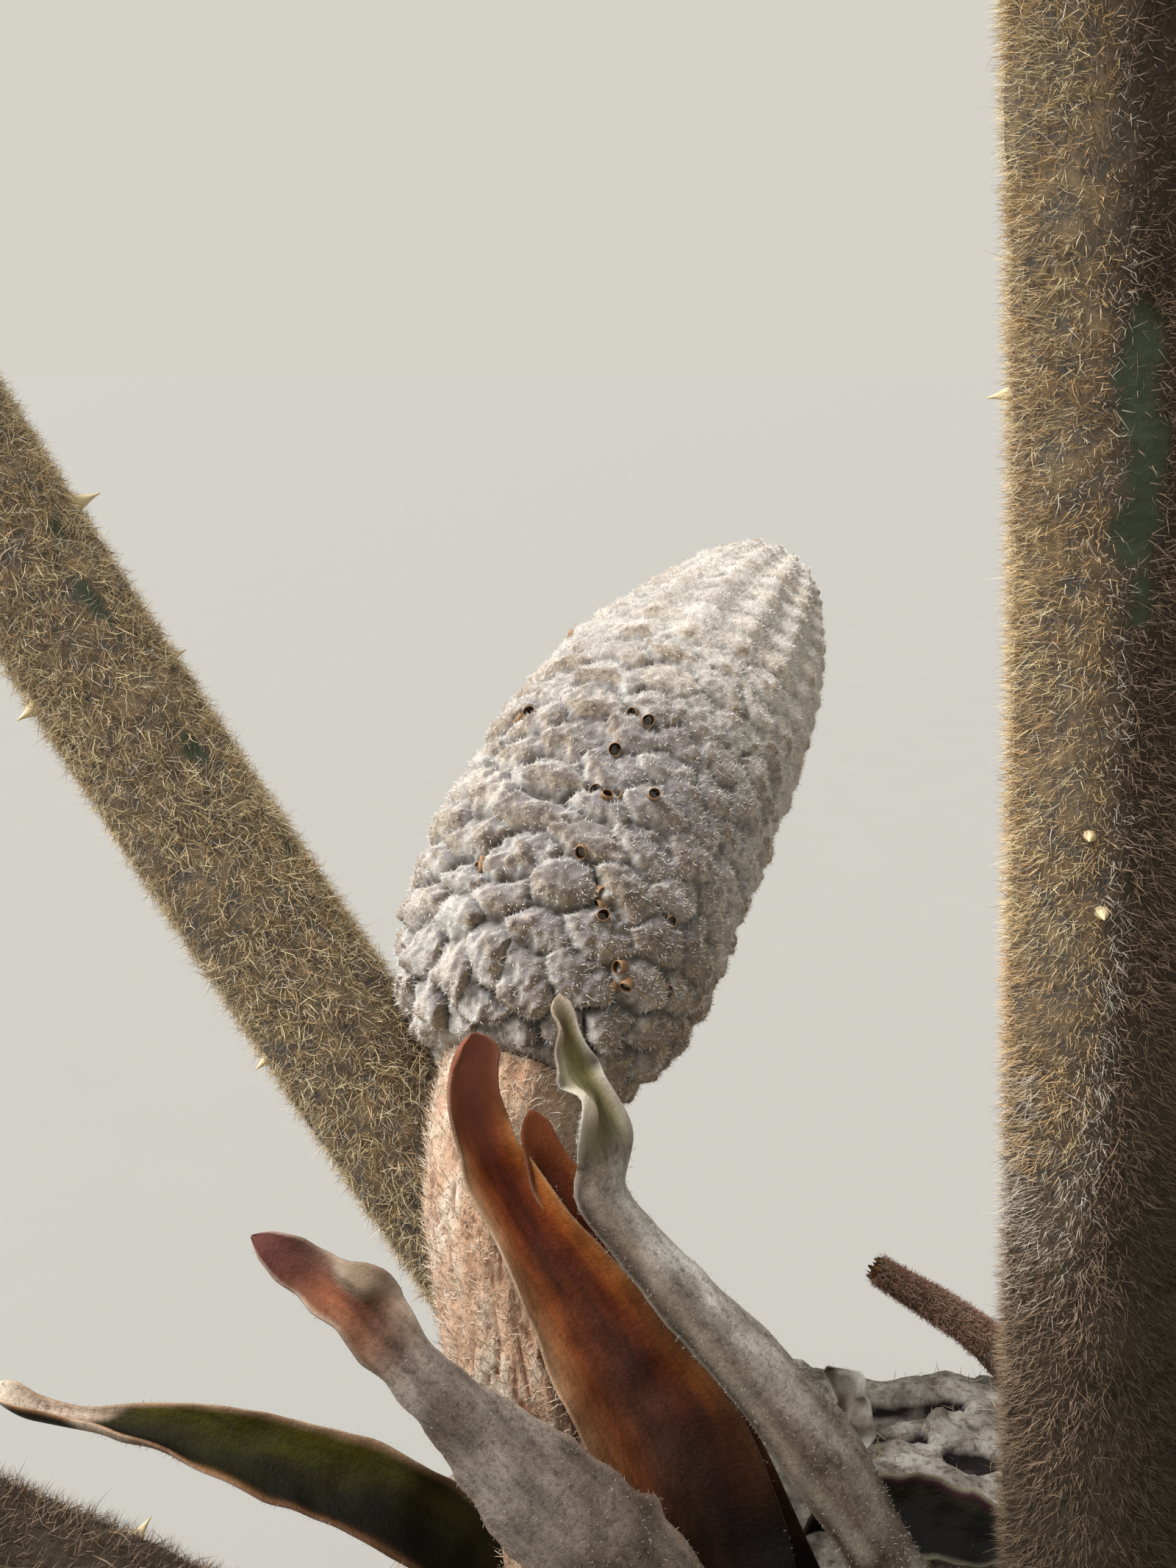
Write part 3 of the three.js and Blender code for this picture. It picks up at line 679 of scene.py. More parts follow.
limbs = [
    {"name": "petiole_left", "path": [(-16, 4, 54), (-27, 5.5, 72), (-52.5, 14, 104), (-86, 28, 157)],
     "radii": [8.2, 6.5, 6.2, 6.1], "around": 64, "long": 38000, "short": 30000, "pile": 38000, "stray": 1600,
     "mix": 1.6,
     "prickles": [(0.87, 184, 1.0), (0.79, 14, 0.75), (0.78, 188, 0.5), (0.56, 18, 0.6), (0.45, 190, 0.8),
                  (0.35, 300, 1.0)],
     "bare": [(0.85, 130, 0.9), (0.815, 122, 1.2), (0.725, 126, 1.3), (0.655, 152, 1.0), (0.5, 20, 1.0)]},
    {"name": "petiole_right",
     "path": [(12.9, -16.5, 54), (8.6, -13.5, 84), (9.6, -10, 130), (4.5, -9.2, 179)],
     "radii": [6.9, 6.25, 6.2, 6.3], "around": 64, "long": 3000, "short": 26000, "pile": 96000, "stray": 600,
     # dull: painted shade at the top, at the foot and on the right side
     "dull": (0.3, 3.8, 2.9), "mix": 0.45,
     "prickles": [(0.34, 250, 1.0), (0.605, 46, 0.4), (0.568, 54, 0.4), (0.8, 300, 1.0), (0.9, 200, 1.0)],
     "bare": [(0.815, 71, 1.3), (0.79, 66, 1.7), (0.765, 73, 1.9), (0.74, 68, 1.6), (0.715, 72, 1.1)]},
    {"name": "petiole_front", "path": [(-26, -32, 50), (-34, -32, 67), (-50, -31.5, 76.5), (-74, -33, 89)],
     "radii": [7.6, 6.3, 6.1, 6.1], "around": 56, "long": 5000, "short": 16000, "pile": 26000, "stray": 400,
     # dull: painted shade over the whole stalk
     "dull": (3.0, 3.4, 0), "mix": 0.7,
     "prickles": [(0.5, 265, 1.0), (0.7, 240, 1.0), (0.85, 290, 1.0)], "bare": []},
    {"name": "old_cone_stalk", "path": [(19, 19, 52), (17, 20.5, 61), (10, 21.5, 63.7), (2.4, 22.9, 68.2)],
     "radii": [2.8, 2.2, 1.85, 1.5], "around": 40, "step": 0.3, "long": 0, "short": 1500, "stubble": 9000,
     "prickles": [], "bare": [], "broken": True},
]
limbLook = {
    "step": 0.6,
    "skinSink": 0.3,      # the skin lies this far under the solid's surface, as the hairs stand over it
    # end of a limb, from its rim inwards: share of the radius, rise in mm. The skin turns in, the pith of a
    # fresh cut stands a little proud, and an old break is hollow
    "cut": [(0.93, 0.05), (0.9, -0.05), (0.6, 0.12), (0.3, 0.18)],
    "break": [(0.93, 0.3), (0.8, -0.2), (0.55, -0.9), (0.3, -1.0)],
    "ragged": 0.35,       # how uneven the rim of a break is
    "shades": {"long": 1.4, "short": 2.6, "pile": 0.3, "stray": 0.5, "stubble": 1.0},
    "darkest": 4.6,       # shading takes a hair at most this many kinds down
    "footward": 0.62,     # share of the hairs that lie towards the limb's foot
    "rubbed": 0.88,       # share of the hairs that a bare spot has lost
    "long": {"length": (1.0, 2.4), "width": 0.025, "lift": (4, 42), "spread": 0.85, "bend": 0.35,
             "sunk": 0.12},
    "short": {"length": (0.5, 1.1), "width": 0.032, "lift": (5, 50), "spread": 1.2, "bend": 0, "sunk": 0.1},
    "pile": {"length": (0.7, 1.35), "width": 0.025, "lift": (40, 88), "spread": 2.0, "bend": 0, "sunk": 0.05},
    "stray": {"length": (1.4, 2.4), "width": 0.022, "lift": (30, 85), "spread": 1.5, "bend": 0.5,
              "sunk": 0.1},
    "stubble": {"length": (0.35, 0.9), "width": 0.035, "lift": (15, 55), "spread": 0.8, "bend": 0.3,
                "sunk": 0.1},
    "prickle": {"length": 3.0, "radius": 1.15, "root": 0.9, "lean": -0.1},
}


# Living skin under the hairs: dull brown, dark green where the hairs have rubbed off, darker as painted shade
def stalkSkinMaterial():
    material, tree, surface, place = startMaterial("leafStalkSkin", Roughness=0.8, Specular_IOR_Level=0.3)
    bare = addNode(tree, "ShaderNodeAttribute", attribute_name="bare").outputs["Fac"]
    mottle = addNode(tree, "ShaderNodeTexNoise", {"Vector": place, "Scale": 1 / (1.6 * mm), "Detail": 5.0})
    skin = addNode(tree, "ShaderNodeValToRGB", {"Fac": mottle},
                   [(0.35, "#494540"), (0.52, "#625443"), (0.7, "#7d694e")])
    # painted shade: the skin darkens where the hairs carry painted shade
    dim = addNode(tree, "ShaderNodeAttribute", attribute_name="dim").outputs["Fac"]
    skin = addNode(tree, "ShaderNodeMixRGB", {"Fac": dim, "Color1": skin, "Color2": "#33281c"})
    skin = addNode(tree, "ShaderNodeMixRGB", {"Fac": bare, "Color1": skin, "Color2": "#353d2c"})
    bump = addNode(tree, "ShaderNodeBump", {"Height": mottle, "Distance": 0.3 * mm})
    wireUp(tree, surface, skin, bump)
    return material


# Fresh cut: pale starchy pith with darker dots, the ends of the vessels
def cutPithMaterial():
    material, tree, surface, place = startMaterial("cutPith", Roughness=0.6)
    cells = addNode(tree, "ShaderNodeTexVoronoi", {"Vector": place, "Scale": 1 / (1.3 * mm)})
    cloud = addNode(tree, "ShaderNodeTexNoise", {"Vector": place, "Scale": 1 / (2 * mm), "Detail": 4.0})
    pith = addNode(tree, "ShaderNodeValToRGB", {"Fac": cloud}, [(0.35, "#9c9472"), (0.65, "#b9b294")])
    dots = addNode(tree, "ShaderNodeValToRGB", {"Fac": cells}, [(0.16, "#6d6238"), (0.26, "#ffffff")])
    pith = addNode(tree, "ShaderNodeMixRGB", {"Fac": 0.8, "Color1": pith, "Color2": dots},
                   blend_type="MULTIPLY")
    bump = addNode(tree, "ShaderNodeBump", {"Height": cells, "Distance": 0.2 * mm})
    wireUp(tree, surface, pith, bump)
    return material


# Old dry break: fibrous and dull brown, with paler fibres in it
def dryBreakMaterial():
    material, tree, surface, place = startMaterial("dryFibrousBreak", Roughness=0.85, Specular_IOR_Level=0.2)
    fibre = addNode(tree, "ShaderNodeTexNoise", {"Vector": place, "Scale": 1 / (0.7 * mm), "Detail": 5.0})
    wood = addNode(tree, "ShaderNodeValToRGB", {"Fac": fibre},
                   [(0.35, "#4a3022"), (0.5, "#7c583c"), (0.65, "#a98a6a")])
    bump = addNode(tree, "ShaderNodeBump", {"Height": fibre, "Distance": 0.4 * mm})
    wireUp(tree, surface, wood, bump)
    return material


skinLook = stalkSkinMaterial()
pithLook = cutPithMaterial()
breakLook = dryBreakMaterial()
# the dusk and deep kinds are darker copies that only painted shade reaches
stalkHairs = [hairMaterial("stalkHairStraw", "#d9c79c"), hairMaterial("stalkHairTan", "#c4a578"),
              hairMaterial("stalkHairGrey", "#b5a998"), hairMaterial("stalkHairBrown", "#8b745f"),
              hairMaterial("stalkHairDark", "#6a5844"), hairMaterial("stalkHairDuskShade", "#4a3e2e"),
              hairMaterial("stalkHairDeepShade", "#30281c")]
rustHairs = [hairMaterial("rustHairPale", "#bd9a86"), hairMaterial("rustHair", "#956e5a"),
             hairMaterial("rustHairDark", "#56382b")]


# Dry horny spine, pale as straw
prickleLook = startMaterial("paleSpine", Base_Color=colour("#c8b58e"), Roughness=0.6)[0]


# colour numbers for hairs: they change from tuft to tuft as well as from hair to hair; dull adds painted
# shade
def hairKinds(roots, seed, shades, dull=0, mix=1.1):
    tuft = 0.6 * lumps(roots, 1.3, seed) + 0.25 * lumps(roots, 8.0, seed)
    number = np.clip(shades + mix * dice.normal(0, 1, len(roots)) - tuft, 0, 4)
    return np.clip(np.round(number + dull), 0, 6).astype(int)


# how much a place on a limb lies in one of its bare spots, from 0 to 1
def bareness(limb, t, angle, length):
    total = np.zeros(np.broadcast(t, angle).shape)
    for place, bearing, size in limb["bare"]:
        off = np.angle(np.exp(1j * (angle - math.radians(bearing)))) * limb["radii"][2]
        away = np.hypot(off * 1.3, (t - place) * length * 0.75) / size
        ragged = np.stack(np.broadcast_arrays(t * length, angle * limb["radii"][2], 0), -1)
        total = np.maximum(total, smoothStep(1.3, 0.7, away + 0.45 * lumps(ragged, 0.9, 32)))
    return total


# painted shade: how many kinds darker the hairs of a limb are, at its top, at its foot and on its right side
def paintedHairShade(limb, t, angle):
    top, foot, side = limb.get("dull", (0, 0, 0))
    shaded = smoothStep(0.85, 0.1, np.cos(angle)) * smoothStep(-0.6, 0.3, np.sin(angle))
    return np.minimum(top + (foot - top) * smoothStep(0.6, 0.15, t) + side * shaded, limbLook["darkest"])


def addPrickle(piece, place, out, size, material):
    look = limbLook["prickle"]
    right, up = limbFrame(out)
    t = np.linspace(0, 1, 7)[:, None, None]
    angle = np.arange(8) / 8 * 2 * np.pi
    ring = np.cos(angle)[:, None] * right + np.sin(angle)[:, None] * up
    radius = look["radius"] * math.sqrt(size) * (1 - t) ** 1.3 + 0.03
    reach = t * (look["root"] + (look["length"] - look["root"]) * size) - look["root"]
    addTube(piece, place + out * reach + up * 0.5 * size * t * t + ring * radius, material)


def limbSurface(limb, t, angle):
    middle, along = curveAt(limb["path"], t)
    right, up = limbFrame(along)
    out = right * np.cos(angle)[..., None] + up * np.sin(angle)[..., None]
    radius = blendValues(limb["radii"], t) - limbLook["skinSink"]
    return middle + out * radius[..., None], out, along


def makeLimb(limb):
    t, length = evenSteps(limb["path"], limb.get("step", limbLook["step"]))
    angle = np.arange(limb["around"]) / limb["around"] * 2 * np.pi
    ts, angles = np.meshgrid(t, angle, indexing="ij")
    grid, out, along = limbSurface(limb, ts, angles)
    grid = grid + out * (0.25 * roughness(grid, 5.0, 2, 21) + 0.1 * lumps(grid, 1.5, 22))[..., None]
    broken = limb.get("broken", False)
    profile = limbLook["break" if broken else "cut"]
    middle, way = grid[-1].mean(axis=0), along[-1, 0]
    ragged = limbLook["ragged"] * dice.normal(0, 1, len(angle)) if broken else np.zeros(len(angle))
    end = [middle + (grid[-1] - middle) * share + way * (rise + ragged * share)[:, None]
           for share, rise in profile]
    none = np.zeros((len(profile), len(angle)))
    bare = np.concatenate([bareness(limb, ts, angles, length), none])
    # painted shade on the skin, following the hairs'
    dim = np.concatenate([paintedHairShade(limb, ts, angles) / 2.5, none])
    rings = len(t)
    numbers = np.repeat(np.where(np.arange(rings + len(profile) - 1) < rings - 1, 0, 1), len(angle))
    piece = newPiece()
    addTube(piece, np.concatenate([grid, end]), numbers, 1, bare=bare, dim=dim)
    for place, bearing, size in limb["prickles"]:
        seat, outward, slope = (a[0] for a in limbSurface(limb, np.array([place]), np.radians([bearing])))
        outward = unit(outward + slope * limbLook["prickle"]["lean"])
        addPrickle(piece, seat + outward * limbLook["skinSink"], outward, size, 2)
    endLook = breakLook if broken else pithLook
    finishPiece(piece, limb["name"] + "_skin", [skinLook, endLook, prickleLook], [limb["name"]])
    piece = newPiece()
    for kind, shades in limbLook["shades"].items():
        count = limb.get(kind, 0)
        tHair = np.interp(dice.random(count), np.linspace(0, 1, rings), t)
        aHair = dice.random(count) * 2 * np.pi
        keep = dice.random(count) > bareness(limb, tHair, aHair, length) * limbLook["rubbed"]
        roots, outHair, ways = limbSurface(limb, tHair[keep], aHair[keep])
        ways = np.where(dice.random(len(roots)) < limbLook["footward"], -1.0, 1.0)[:, None] * ways
        # painted shade moves the hairs' colours darker
        dull = paintedHairShade(limb, tHair[keep], aHair[keep])
        number = hairKinds(roots, 31, shades, dull, limb.get("mix", 1.1))
        if broken:
            number = np.minimum(number // 2, len(rustHairs) - 1)
        growHairs(piece, roots, outHair, ways, limbLook[kind], number)
    looks = rustHairs if broken else stalkHairs
    finishPiece(piece, limb["name"] + "_hairs", looks, [limb["name"]])


for limb in limbs:
    makeLimb(limb)


# The cone's woolly stalk

coneStalk = {
    "path": [(-23.5, -12, 56), (-28, -9, 74), (-34.2, -3.6, 89), (-30.9, 3.8, 97.8)],
    "radii": [6.9, 6.1, 5.8, 5.7],
    "around": 150, "step": 0.3,
    "crack": {"width": 0.6, "length": 5.0, "depth": 0.32},
    "relief": {"swell": 0.2, "grain": 0.1, "sunk": 0.15},
    "wool": {"length": (0.5, 1.1), "width": 0.03, "lift": (5, 55), "spread": 0.8, "bend": 0.4, "sunk": 0.1},
    "woolCount": 26000,
    "woolShares": [0.55, 0.27, 0.18],     # cream, peach, white
}


# Plant wool matted over the stalk: cream where it is thick, peach where thin, brown skin in the cracks
def stalkWoolMaterial():
    material, tree, surface, place = startMaterial("mattedPlantWool", Roughness=0.95, Sheen_Weight=0.25,
                                                   Sheen_Roughness=0.5, Specular_IOR_Level=0.15)
    crack = addNode(tree, "ShaderNodeAttribute", attribute_name="crack").outputs["Fac"]
    stretched = addNode(tree, "ShaderNodeMapping", {"Vector": place, "Scale": (1, 1, 0.35)})
    patch = addNode(tree, "ShaderNodeTexNoise", {"Vector": stretched, "Scale": 1 / (3 * mm), "Detail": 4.0})
    wool = addNode(tree, "ShaderNodeValToRGB", {"Fac": patch},
                   [(0.34, "#a27d64"), (0.5, "#b8987d"), (0.66, "#c9baa7")])
    fibre = addNode(tree, "ShaderNodeTexNoise", {"Vector": stretched, "Scale": 1 / (0.3 * mm), "Detail": 5.0})
    wool = addNode(tree, "ShaderNodeMixRGB", {"Fac": crack, "Color1": wool, "Color2": "#74452a"})
    bump = addNode(tree, "ShaderNodeBump", {"Height": fibre, "Distance": 0.2 * mm})
    wireUp(tree, surface, wool, bump)
    return material


def makeConeStalk():
    t, length = evenSteps(coneStalk["path"], coneStalk["step"])
    around = coneStalk["around"]
    middle, along = curveAt(coneStalk["path"], t)
    right, up = limbFrame(along)
    angle = np.arange(around) / around * 2 * np.pi
    out = right[:, None] * np.cos(angle)[None, :, None] + up[:, None] * np.sin(angle)[None, :, None]
    grid = middle[:, None] + out * blendValues(coneStalk["radii"], t)[:, None, None]
    # cracks run along the stalk, more of them low down: noise drawn out along it, thin where it crosses 0
    crack, relief = coneStalk["crack"], coneStalk["relief"]
    drawn = np.stack([out[..., 0] * 6 / crack["width"], out[..., 1] * 6 / crack["width"],
                      np.broadcast_to((t * length / crack["length"])[:, None], out.shape[:2])], -1)
    line = np.abs(lumps(drawn, 1.0, 41) + 0.3 * lumps(drawn * 2.3, 1.0, 42))
    zone = smoothStep(-0.15, 0.5, lumps(grid, 7.0, 43) + 0.75 - 1.1 * t[:, None])
    split = smoothStep(0.2, 0.02, line) * zone
    height = (-crack["depth"] * split + relief["swell"] * roughness(drawn, 1.3, 2, 44)
              + relief["grain"] * lumps(grid, 0.8, 45))
    grid = grid + out * (height - relief["sunk"])[..., None]
    piece = newPiece()
    addTube(piece, grid, crack=split)
    finishPiece(piece, "cone_stalk_skin", [stalkWoolMaterial()], ["cone_stalk"])
    count = coneStalk["woolCount"]
    normals = gridNormals(grid)
    i, j = dice.integers(1, len(t), count), dice.integers(0, around, count)
    keep = dice.random(count) > split[i, j] * 1.2
    i, j = i[keep], j[keep]
    roots = grid[i, j] + dice.normal(0, 0.08, (len(i), 3))
    piece = newPiece()
    looks = [hairMaterial("woolCream", "#c2b29c"), hairMaterial("woolPeach", "#b29478"),
             hairMaterial("woolWhite", "#d0c6b6")]
    kinds = dice.choice(len(looks), len(i), p=coneStalk["woolShares"])
    growHairs(piece, roots, normals[i, j], along[i], coneStalk["wool"], kinds)
    finishPiece(piece, "cone_stalk_wool", looks, ["cone_stalk"])


makeConeStalk()


# Dry scale leaves. A row says, from foot to tip: place, half width to the left and right, how strongly the
# leaf is rolled (per mm, below 0 where the side shown bulges), the way that side faces, and how felted it
# is. In photoRows the place is the photograph's pixel across and down, and the depth in front of the camera

# its low bands darken to near black on the right edge as a painted shadow under the next leaf
# redBrown: red-brown with paler margins, plus painted light: orange glow on the lit edges, painted shade in
# the middle
redBrown = {"bands": [(0.0, "#d9b08c"), (0.13, "#c98a5c"), (0.27, "#a3562a"), (0.42, "#70300f"),
                      (0.58, "#5a220b"), (0.76, "#8a3d12"), (0.9, "#c4702f"), (1.0, "#cd8a50")],
            "low": [(0.0, "#c99a70"), (0.14, "#bb7b4a"), (0.28, "#935631"), (0.44, "#684632"),
                    (0.6, "#573a2a"), (0.78, "#28150c"), (1.0, "#1a0d07")],
            "tip": "#955c48", "tipFrom": (0.82, 0.96), "felt": ("#a08e76", "#c8b9a0")}
scaleLeaves = [
    {"name": "scale_leaf_hooded", "slot": "dry_scale", "look": redBrown, "photoRows": [
        (1040, 2450, 109, 5.2, 5.4, 0.08, 0.3, -0.9, 0.35, 0),
        (1010, 2330, 109, 5.5, 6, 0.08, 0.3, -0.9, 0.35, 0),
        (960, 2150, 109, 6.0, 6.5, 0.09, 0.3, -0.9, 0.35, 0),
        (915, 2000, 109, 6.0, 6.2, 0.11, 0.35, -0.9, 0.3, 0),
        (855, 1890, 109.5, 5.8, 5.2, 0.14, 0.4, -0.88, 0.25, 0),
        (790, 1780, 110, 4.7, 4.3, 0.19, 0.42, -0.88, 0.2, 0),
        (728, 1690, 110.3, 3.3, 3.7, 0.27, 0.45, -0.86, 0.15, 0),
        (672, 1600, 110.5, 2.7, 2.9, 0.38, 0.45, -0.86, 0.1, 0),
        (638, 1510, 110.3, 2.4, 2.4, 0.5, 0.45, -0.86, 0.1, 0),
        (634, 1450, 110, 2.4, 2.4, 0.5, 0.45, -0.86, 0, 0),
        (640, 1420, 109.3, 2.2, 2.2, 0.5, 0.42, -0.7, -0.5, 0),
        (645, 1407, 108.6, 1.5, 1.5, 0.6, 0.4, -0.5, -0.8, 0.2)]},
    {"name": "scale_leaf_inner", "slot": "dry_scale", "look": {**redBrown, "tip": "#7a4024"}, "photoRows": [
        (1150, 2440, 114.5, 3.3, 3.6, 0.1, 0.45, -0.85, 0.2, 0),
        (1119, 2330, 114.5, 3.5, 4, 0.1, 0.45, -0.85, 0.2, 0),
        (1040, 2150, 114.5, 3.5, 4.2, 0.11, 0.45, -0.85, 0.2, 0),
        (960, 1980, 114.1, 3.4, 4.2, 0.13, 0.45, -0.85, 0.2, 0),
        (890, 1850, 113.4, 3.2, 4, 0.16, 0.5, -0.85, 0.2, 0),
        (830, 1750, 112.6, 2.8, 3.4, 0.22, 0.5, -0.85, 0.2, 0),
        (775, 1650, 112, 2.2, 2.6, 0.33, 0.5, -0.85, 0.2, 0),
        (738, 1580, 111.5, 1.9, 1.9, 0.45, 0.5, -0.85, 0.2, 0),
        (722, 1510, 111, 0.8, 0.8, 0.8, 0.5, -0.85, 0, 0)]},
    {"name": "scale_leaf_felted", "slot": "grey_felt",
     "look": {"bands": [(0.0, "#e3dcc8"), (0.24, "#c4bb98"), (0.42, "#8f875c"), (0.58, "#7f774a"),
                        (0.74, "#9f966b"), (0.87, "#cbc2a8"), (1.0, "#e6dfce")],
              "rim": "#e0d8c8", "tip": "#e6dcc6", "tipFrom": (0.97, 1.0), "felt": ("#8c867e", "#c8c3bc"),
              # paintedSideShade: painted shade, the felt darker on its left side
              "paintedSideShade": [(0.05, "#77675a"), (0.32, "#b5aaa0"), (0.62, "#ffffff")]},
     # share of the length, place across, the same at the other end, radius, height: a nub, a pinch, a knob
     "folds": [(0.925, -0.8, 0.94, -0.95, 0.9, 0.7), (0.845, -0.9, 0.85, 0.9, 0.7, -0.7),
               (0.815, -0.75, 0.79, -0.5, 1.4, 1.3), (0.78, 0.1, 0.42, 0.0, 0.8, -0.35),
               (0.6, -0.6, 0.2, -0.55, 1.0, 0.35)],
     "photoRows": [
        (1400, 2559, 100.5, 3.4, 3.4, -0.25, 0.6, -0.75, 0.1, 1),
        (1310, 2330, 101, 3.5, 3.3, -0.3, 0.6, -0.75, 0.1, 1),
        (1240, 2160, 102, 3.4, 3.2, -0.3, 0.6, -0.75, 0.1, 1),
        (1148, 2000, 103, 3.3, 3.1, -0.32, 0.6, -0.75, 0.1, 1),
        (1052, 1880, 104, 3.2, 3.1, -0.34, 0.6, -0.75, 0.1, 1),
        (952, 1769, 105, 2.7, 2.6, -0.38, 0.6, -0.72, 0.1, 1),
        (875, 1685, 106, 2.4, 2.3, -0.42, 0.62, -0.7, 0.1, 1),
        (837, 1626, 106.6, 2.8, 2.1, -0.48, 0.62, -0.7, 0.1, 1),
        (835, 1580, 106.9, 2.7, 2.2, -0.3, 0.6, -0.7, 0.1, 0.8),
        (821, 1534, 107.2, 2.8, 2.0, 0.2, 0.55, -0.75, 0.1, 0.15),
        (792, 1470, 107.5, 2.8, 1.7, 0.42, 0.5, -0.8, 0.1, 0),
        (769, 1409, 107.8, 2.0, 1.2, 0.55, 0.5, -0.8, 0.1, 0),
        (761, 1352, 108.2, 1.0, 0.9, 0.7, 0.5, -0.8, 0.1, 0.4)]},
    {"name": "scale_leaf_kinked", "slot": "grey_felt",
     "look": {"bands": [(0.0, "#bb9a7c"), (0.12, "#a66c48"), (0.38, "#a2603c"), (0.6, "#8e5c42"),
                        (0.8, "#ab876c"), (1.0, "#d6bda4")],
              "rim": "#c0aa98", "tip": "#58302a", "tipFrom": (0.83, 0.96), "felt": ("#6b625b", "#9b9086")},
     # a knob with a pit under it, then a fold down the middle
     "folds": [(0.77, 0.62, 0.745, 0.5, 1.35, 1.4), (0.7, 0.4, 0.69, 0.1, 1.0, -0.15),
               (0.6, 0.0, 0.4, -0.35, 0.75, -0.4)],
     "ragged": 0.1, "crumple": 0.08,
     "photoRows": [
        (990, 2560, 101, 4.6, 5.2, -0.1, 0.1, -0.8, 0.5, 1),
        (930, 2330, 101.5, 5.2, 6, -0.08, 0.1, -0.8, 0.5, 1),
        (860, 2190, 102, 5.2, 6, -0.1, 0.1, -0.8, 0.5, 1),
        (770, 2070, 102.4, 4.5, 5, -0.13, 0.1, -0.8, 0.5, 1),
        (690, 1985, 102.9, 3.7, 3.6, -0.18, 0.1, -0.8, 0.5, 1),
        (622, 1915, 103.4, 2.9, 2.4, -0.25, 0.1, -0.8, 0.5, 1),
        (566, 1860, 104, 2.4, 1.8, -0.3, 0.1, -0.8, 0.5, 0.9),
        (524, 1816, 104.4, 2.4, 2.4, -0.1, 0.1, -0.8, 0.5, 0.4),
        (486, 1775, 104.8, 2.2, 3.4, 0.3, 0.1, -0.75, 0.55, 0.1),
        (435, 1740, 105.3, 1.9, 2.0, 0.35, 0.1, -0.75, 0.55, 0),
        (385, 1708, 105.7, 1.5, 1.5, 0.4, 0.1, -0.7, 0.6, 0),
        (342, 1682, 106, 0.7, 0.7, 0.5, 0.1, -0.7, 0.6, 0)]},
    {"name": "scale_leaf_spreading", "slot": "olive_scale",
     "look": {"bands": [(0.0, "#86583a"), (0.05, "#553a14"), (0.13, "#1e1a00"), (0.4, "#262400"),
                        (0.7, "#434000"), (0.9, "#565000"), (0.96, "#8f7654"), (1.0, "#c4ae94")],
              "rim": "#b08a66", "tip": "#e3d3be", "tipFrom": (0.96, 1.0), "felt": ("#b7a08e", "#dfcdb9")},
     "turned": (0.74, 0.05),   # its rim folds over here, and from there on the felted side shows
     "photoRows": [
        (700, 2330, 112, 3.2, 3.2, 0.2, 0.6, -0.4, 0.5, 0),
        (640, 2135, 111, 3.4, 3.4, 0.2, 0.3, -0.5, 0.8, 0),
        (545, 2058, 109, 3.5, 3.5, 0.22, 0.15, -0.55, 0.8, 0),
        (435, 2012, 107.5, 3.4, 3.4, 0.24, 0.1, -0.55, 0.8, 0),
        (325, 1973, 106.2, 2.8, 2.7, 0.3, 0.1, -0.55, 0.8, 0),
        (223, 1946, 105.2, 2.1, 1.8, 0.6, 0.1, -0.5, 0.8, 0),
        (123, 1938, 104.6, 1.7, 1.3, 1.0, 0.1, -0.2, 0.95, 0),
        (44, 1922, 104.1, 1.7, 1.5, 1.1, 0.1, -0.1, 0.95, 0),
        (-11, 1884, 103.8, 1.2, 1.2, 1.1, 0.1, -0.3, 0.9, 0)]},
    {"name": "scale_leaf_dark", "slot": "dark_scale", "crumple": 0.35, "ragged": 0.12,
     "look": {"bands": [(0.0, "#8a8670"), (0.06, "#4a2228"), (0.13, "#2c141a"), (0.2, "#26230c"),
                        (0.45, "#100f06"), (0.9, "#0c0b05"), (1.0, "#25220f")],
              "rim": "#8f8a74", "tip": "#2c281c", "tipFrom": (0.95, 1.0), "felt": ("#4c432c", "#7f7350")},
     "rows": [
        (-7.0, -1.0, 55.0, 2.2, 2.2, 0.2, 0.5, -0.7, 0.5, 0),
        (-5.8, -1.4, 59.2, 2.6, 2.8, 0.22, 0.4, -0.7, 0.55, 0),
        (-2.6, -2.2, 62.0, 3.0, 3.4, 0.22, 0.1, -0.75, 0.6, 0),
        (1.2, -3.2, 62.9, 3.0, 3.6, 0.22, 0, -0.75, 0.6, 0),
        (5.0, -4.4, 62.7, 2.6, 3.2, 0.24, 0, -0.75, 0.6, 0),
        (8.6, -5.8, 61.8, 1.2, 1.4, 0.35, 0, -0.75, 0.6, 0)]},
    {"name": "dry_flake", "slot": "dry_scale", "crumple": 1.3, "ragged": 0.3,
     "folds": [(0.95, -0.6, 0.3, -0.15, 0.5, 1.1), (0.8, 0.7, 0.35, 0.25, 0.45, 0.9),
               (1.0, 0.1, 0.5, 0.35, 0.4, -0.8)],
     "look": {"bands": [(0.0, "#f0ece4"), (0.25, "#e8e3da"), (0.6, "#d3ccc1"), (0.85, "#e6e1d7"),
                        (1.0, "#f0ece4")],
              "rim": "#ece7dc", "tip": "#e2ddd2", "tipFrom": (0.9, 1.0), "felt": ("#cfc8bc", "#ece7dd"),
              "paintedFootShade": [(0.0, "#d8d0c8"), (0.3, "#ffffff")]}, "rows": [
        (-3.5, 9.5, 56.0, 1.6, 1.6, 0.3, -0.3, -0.8, 0.5, 0),
        (-3.9, 9.3, 59.5, 2.3, 2.5, 0.25, -0.3, -0.8, 0.5, 0.3),
        (-2.9, 9.2, 62.0, 3.0, 3.3, 0.2, -0.3, -0.8, 0.5, 0.6),
        (-3.0, 9.0, 64.6, 3.2, 2.6, 0.25, -0.2, -0.8, 0.5, 0.3),
        (-3.9, 8.6, 66.7, 2.6, 1.6, 0.4, -0.1, -0.8, 0.5, 0)]},
]
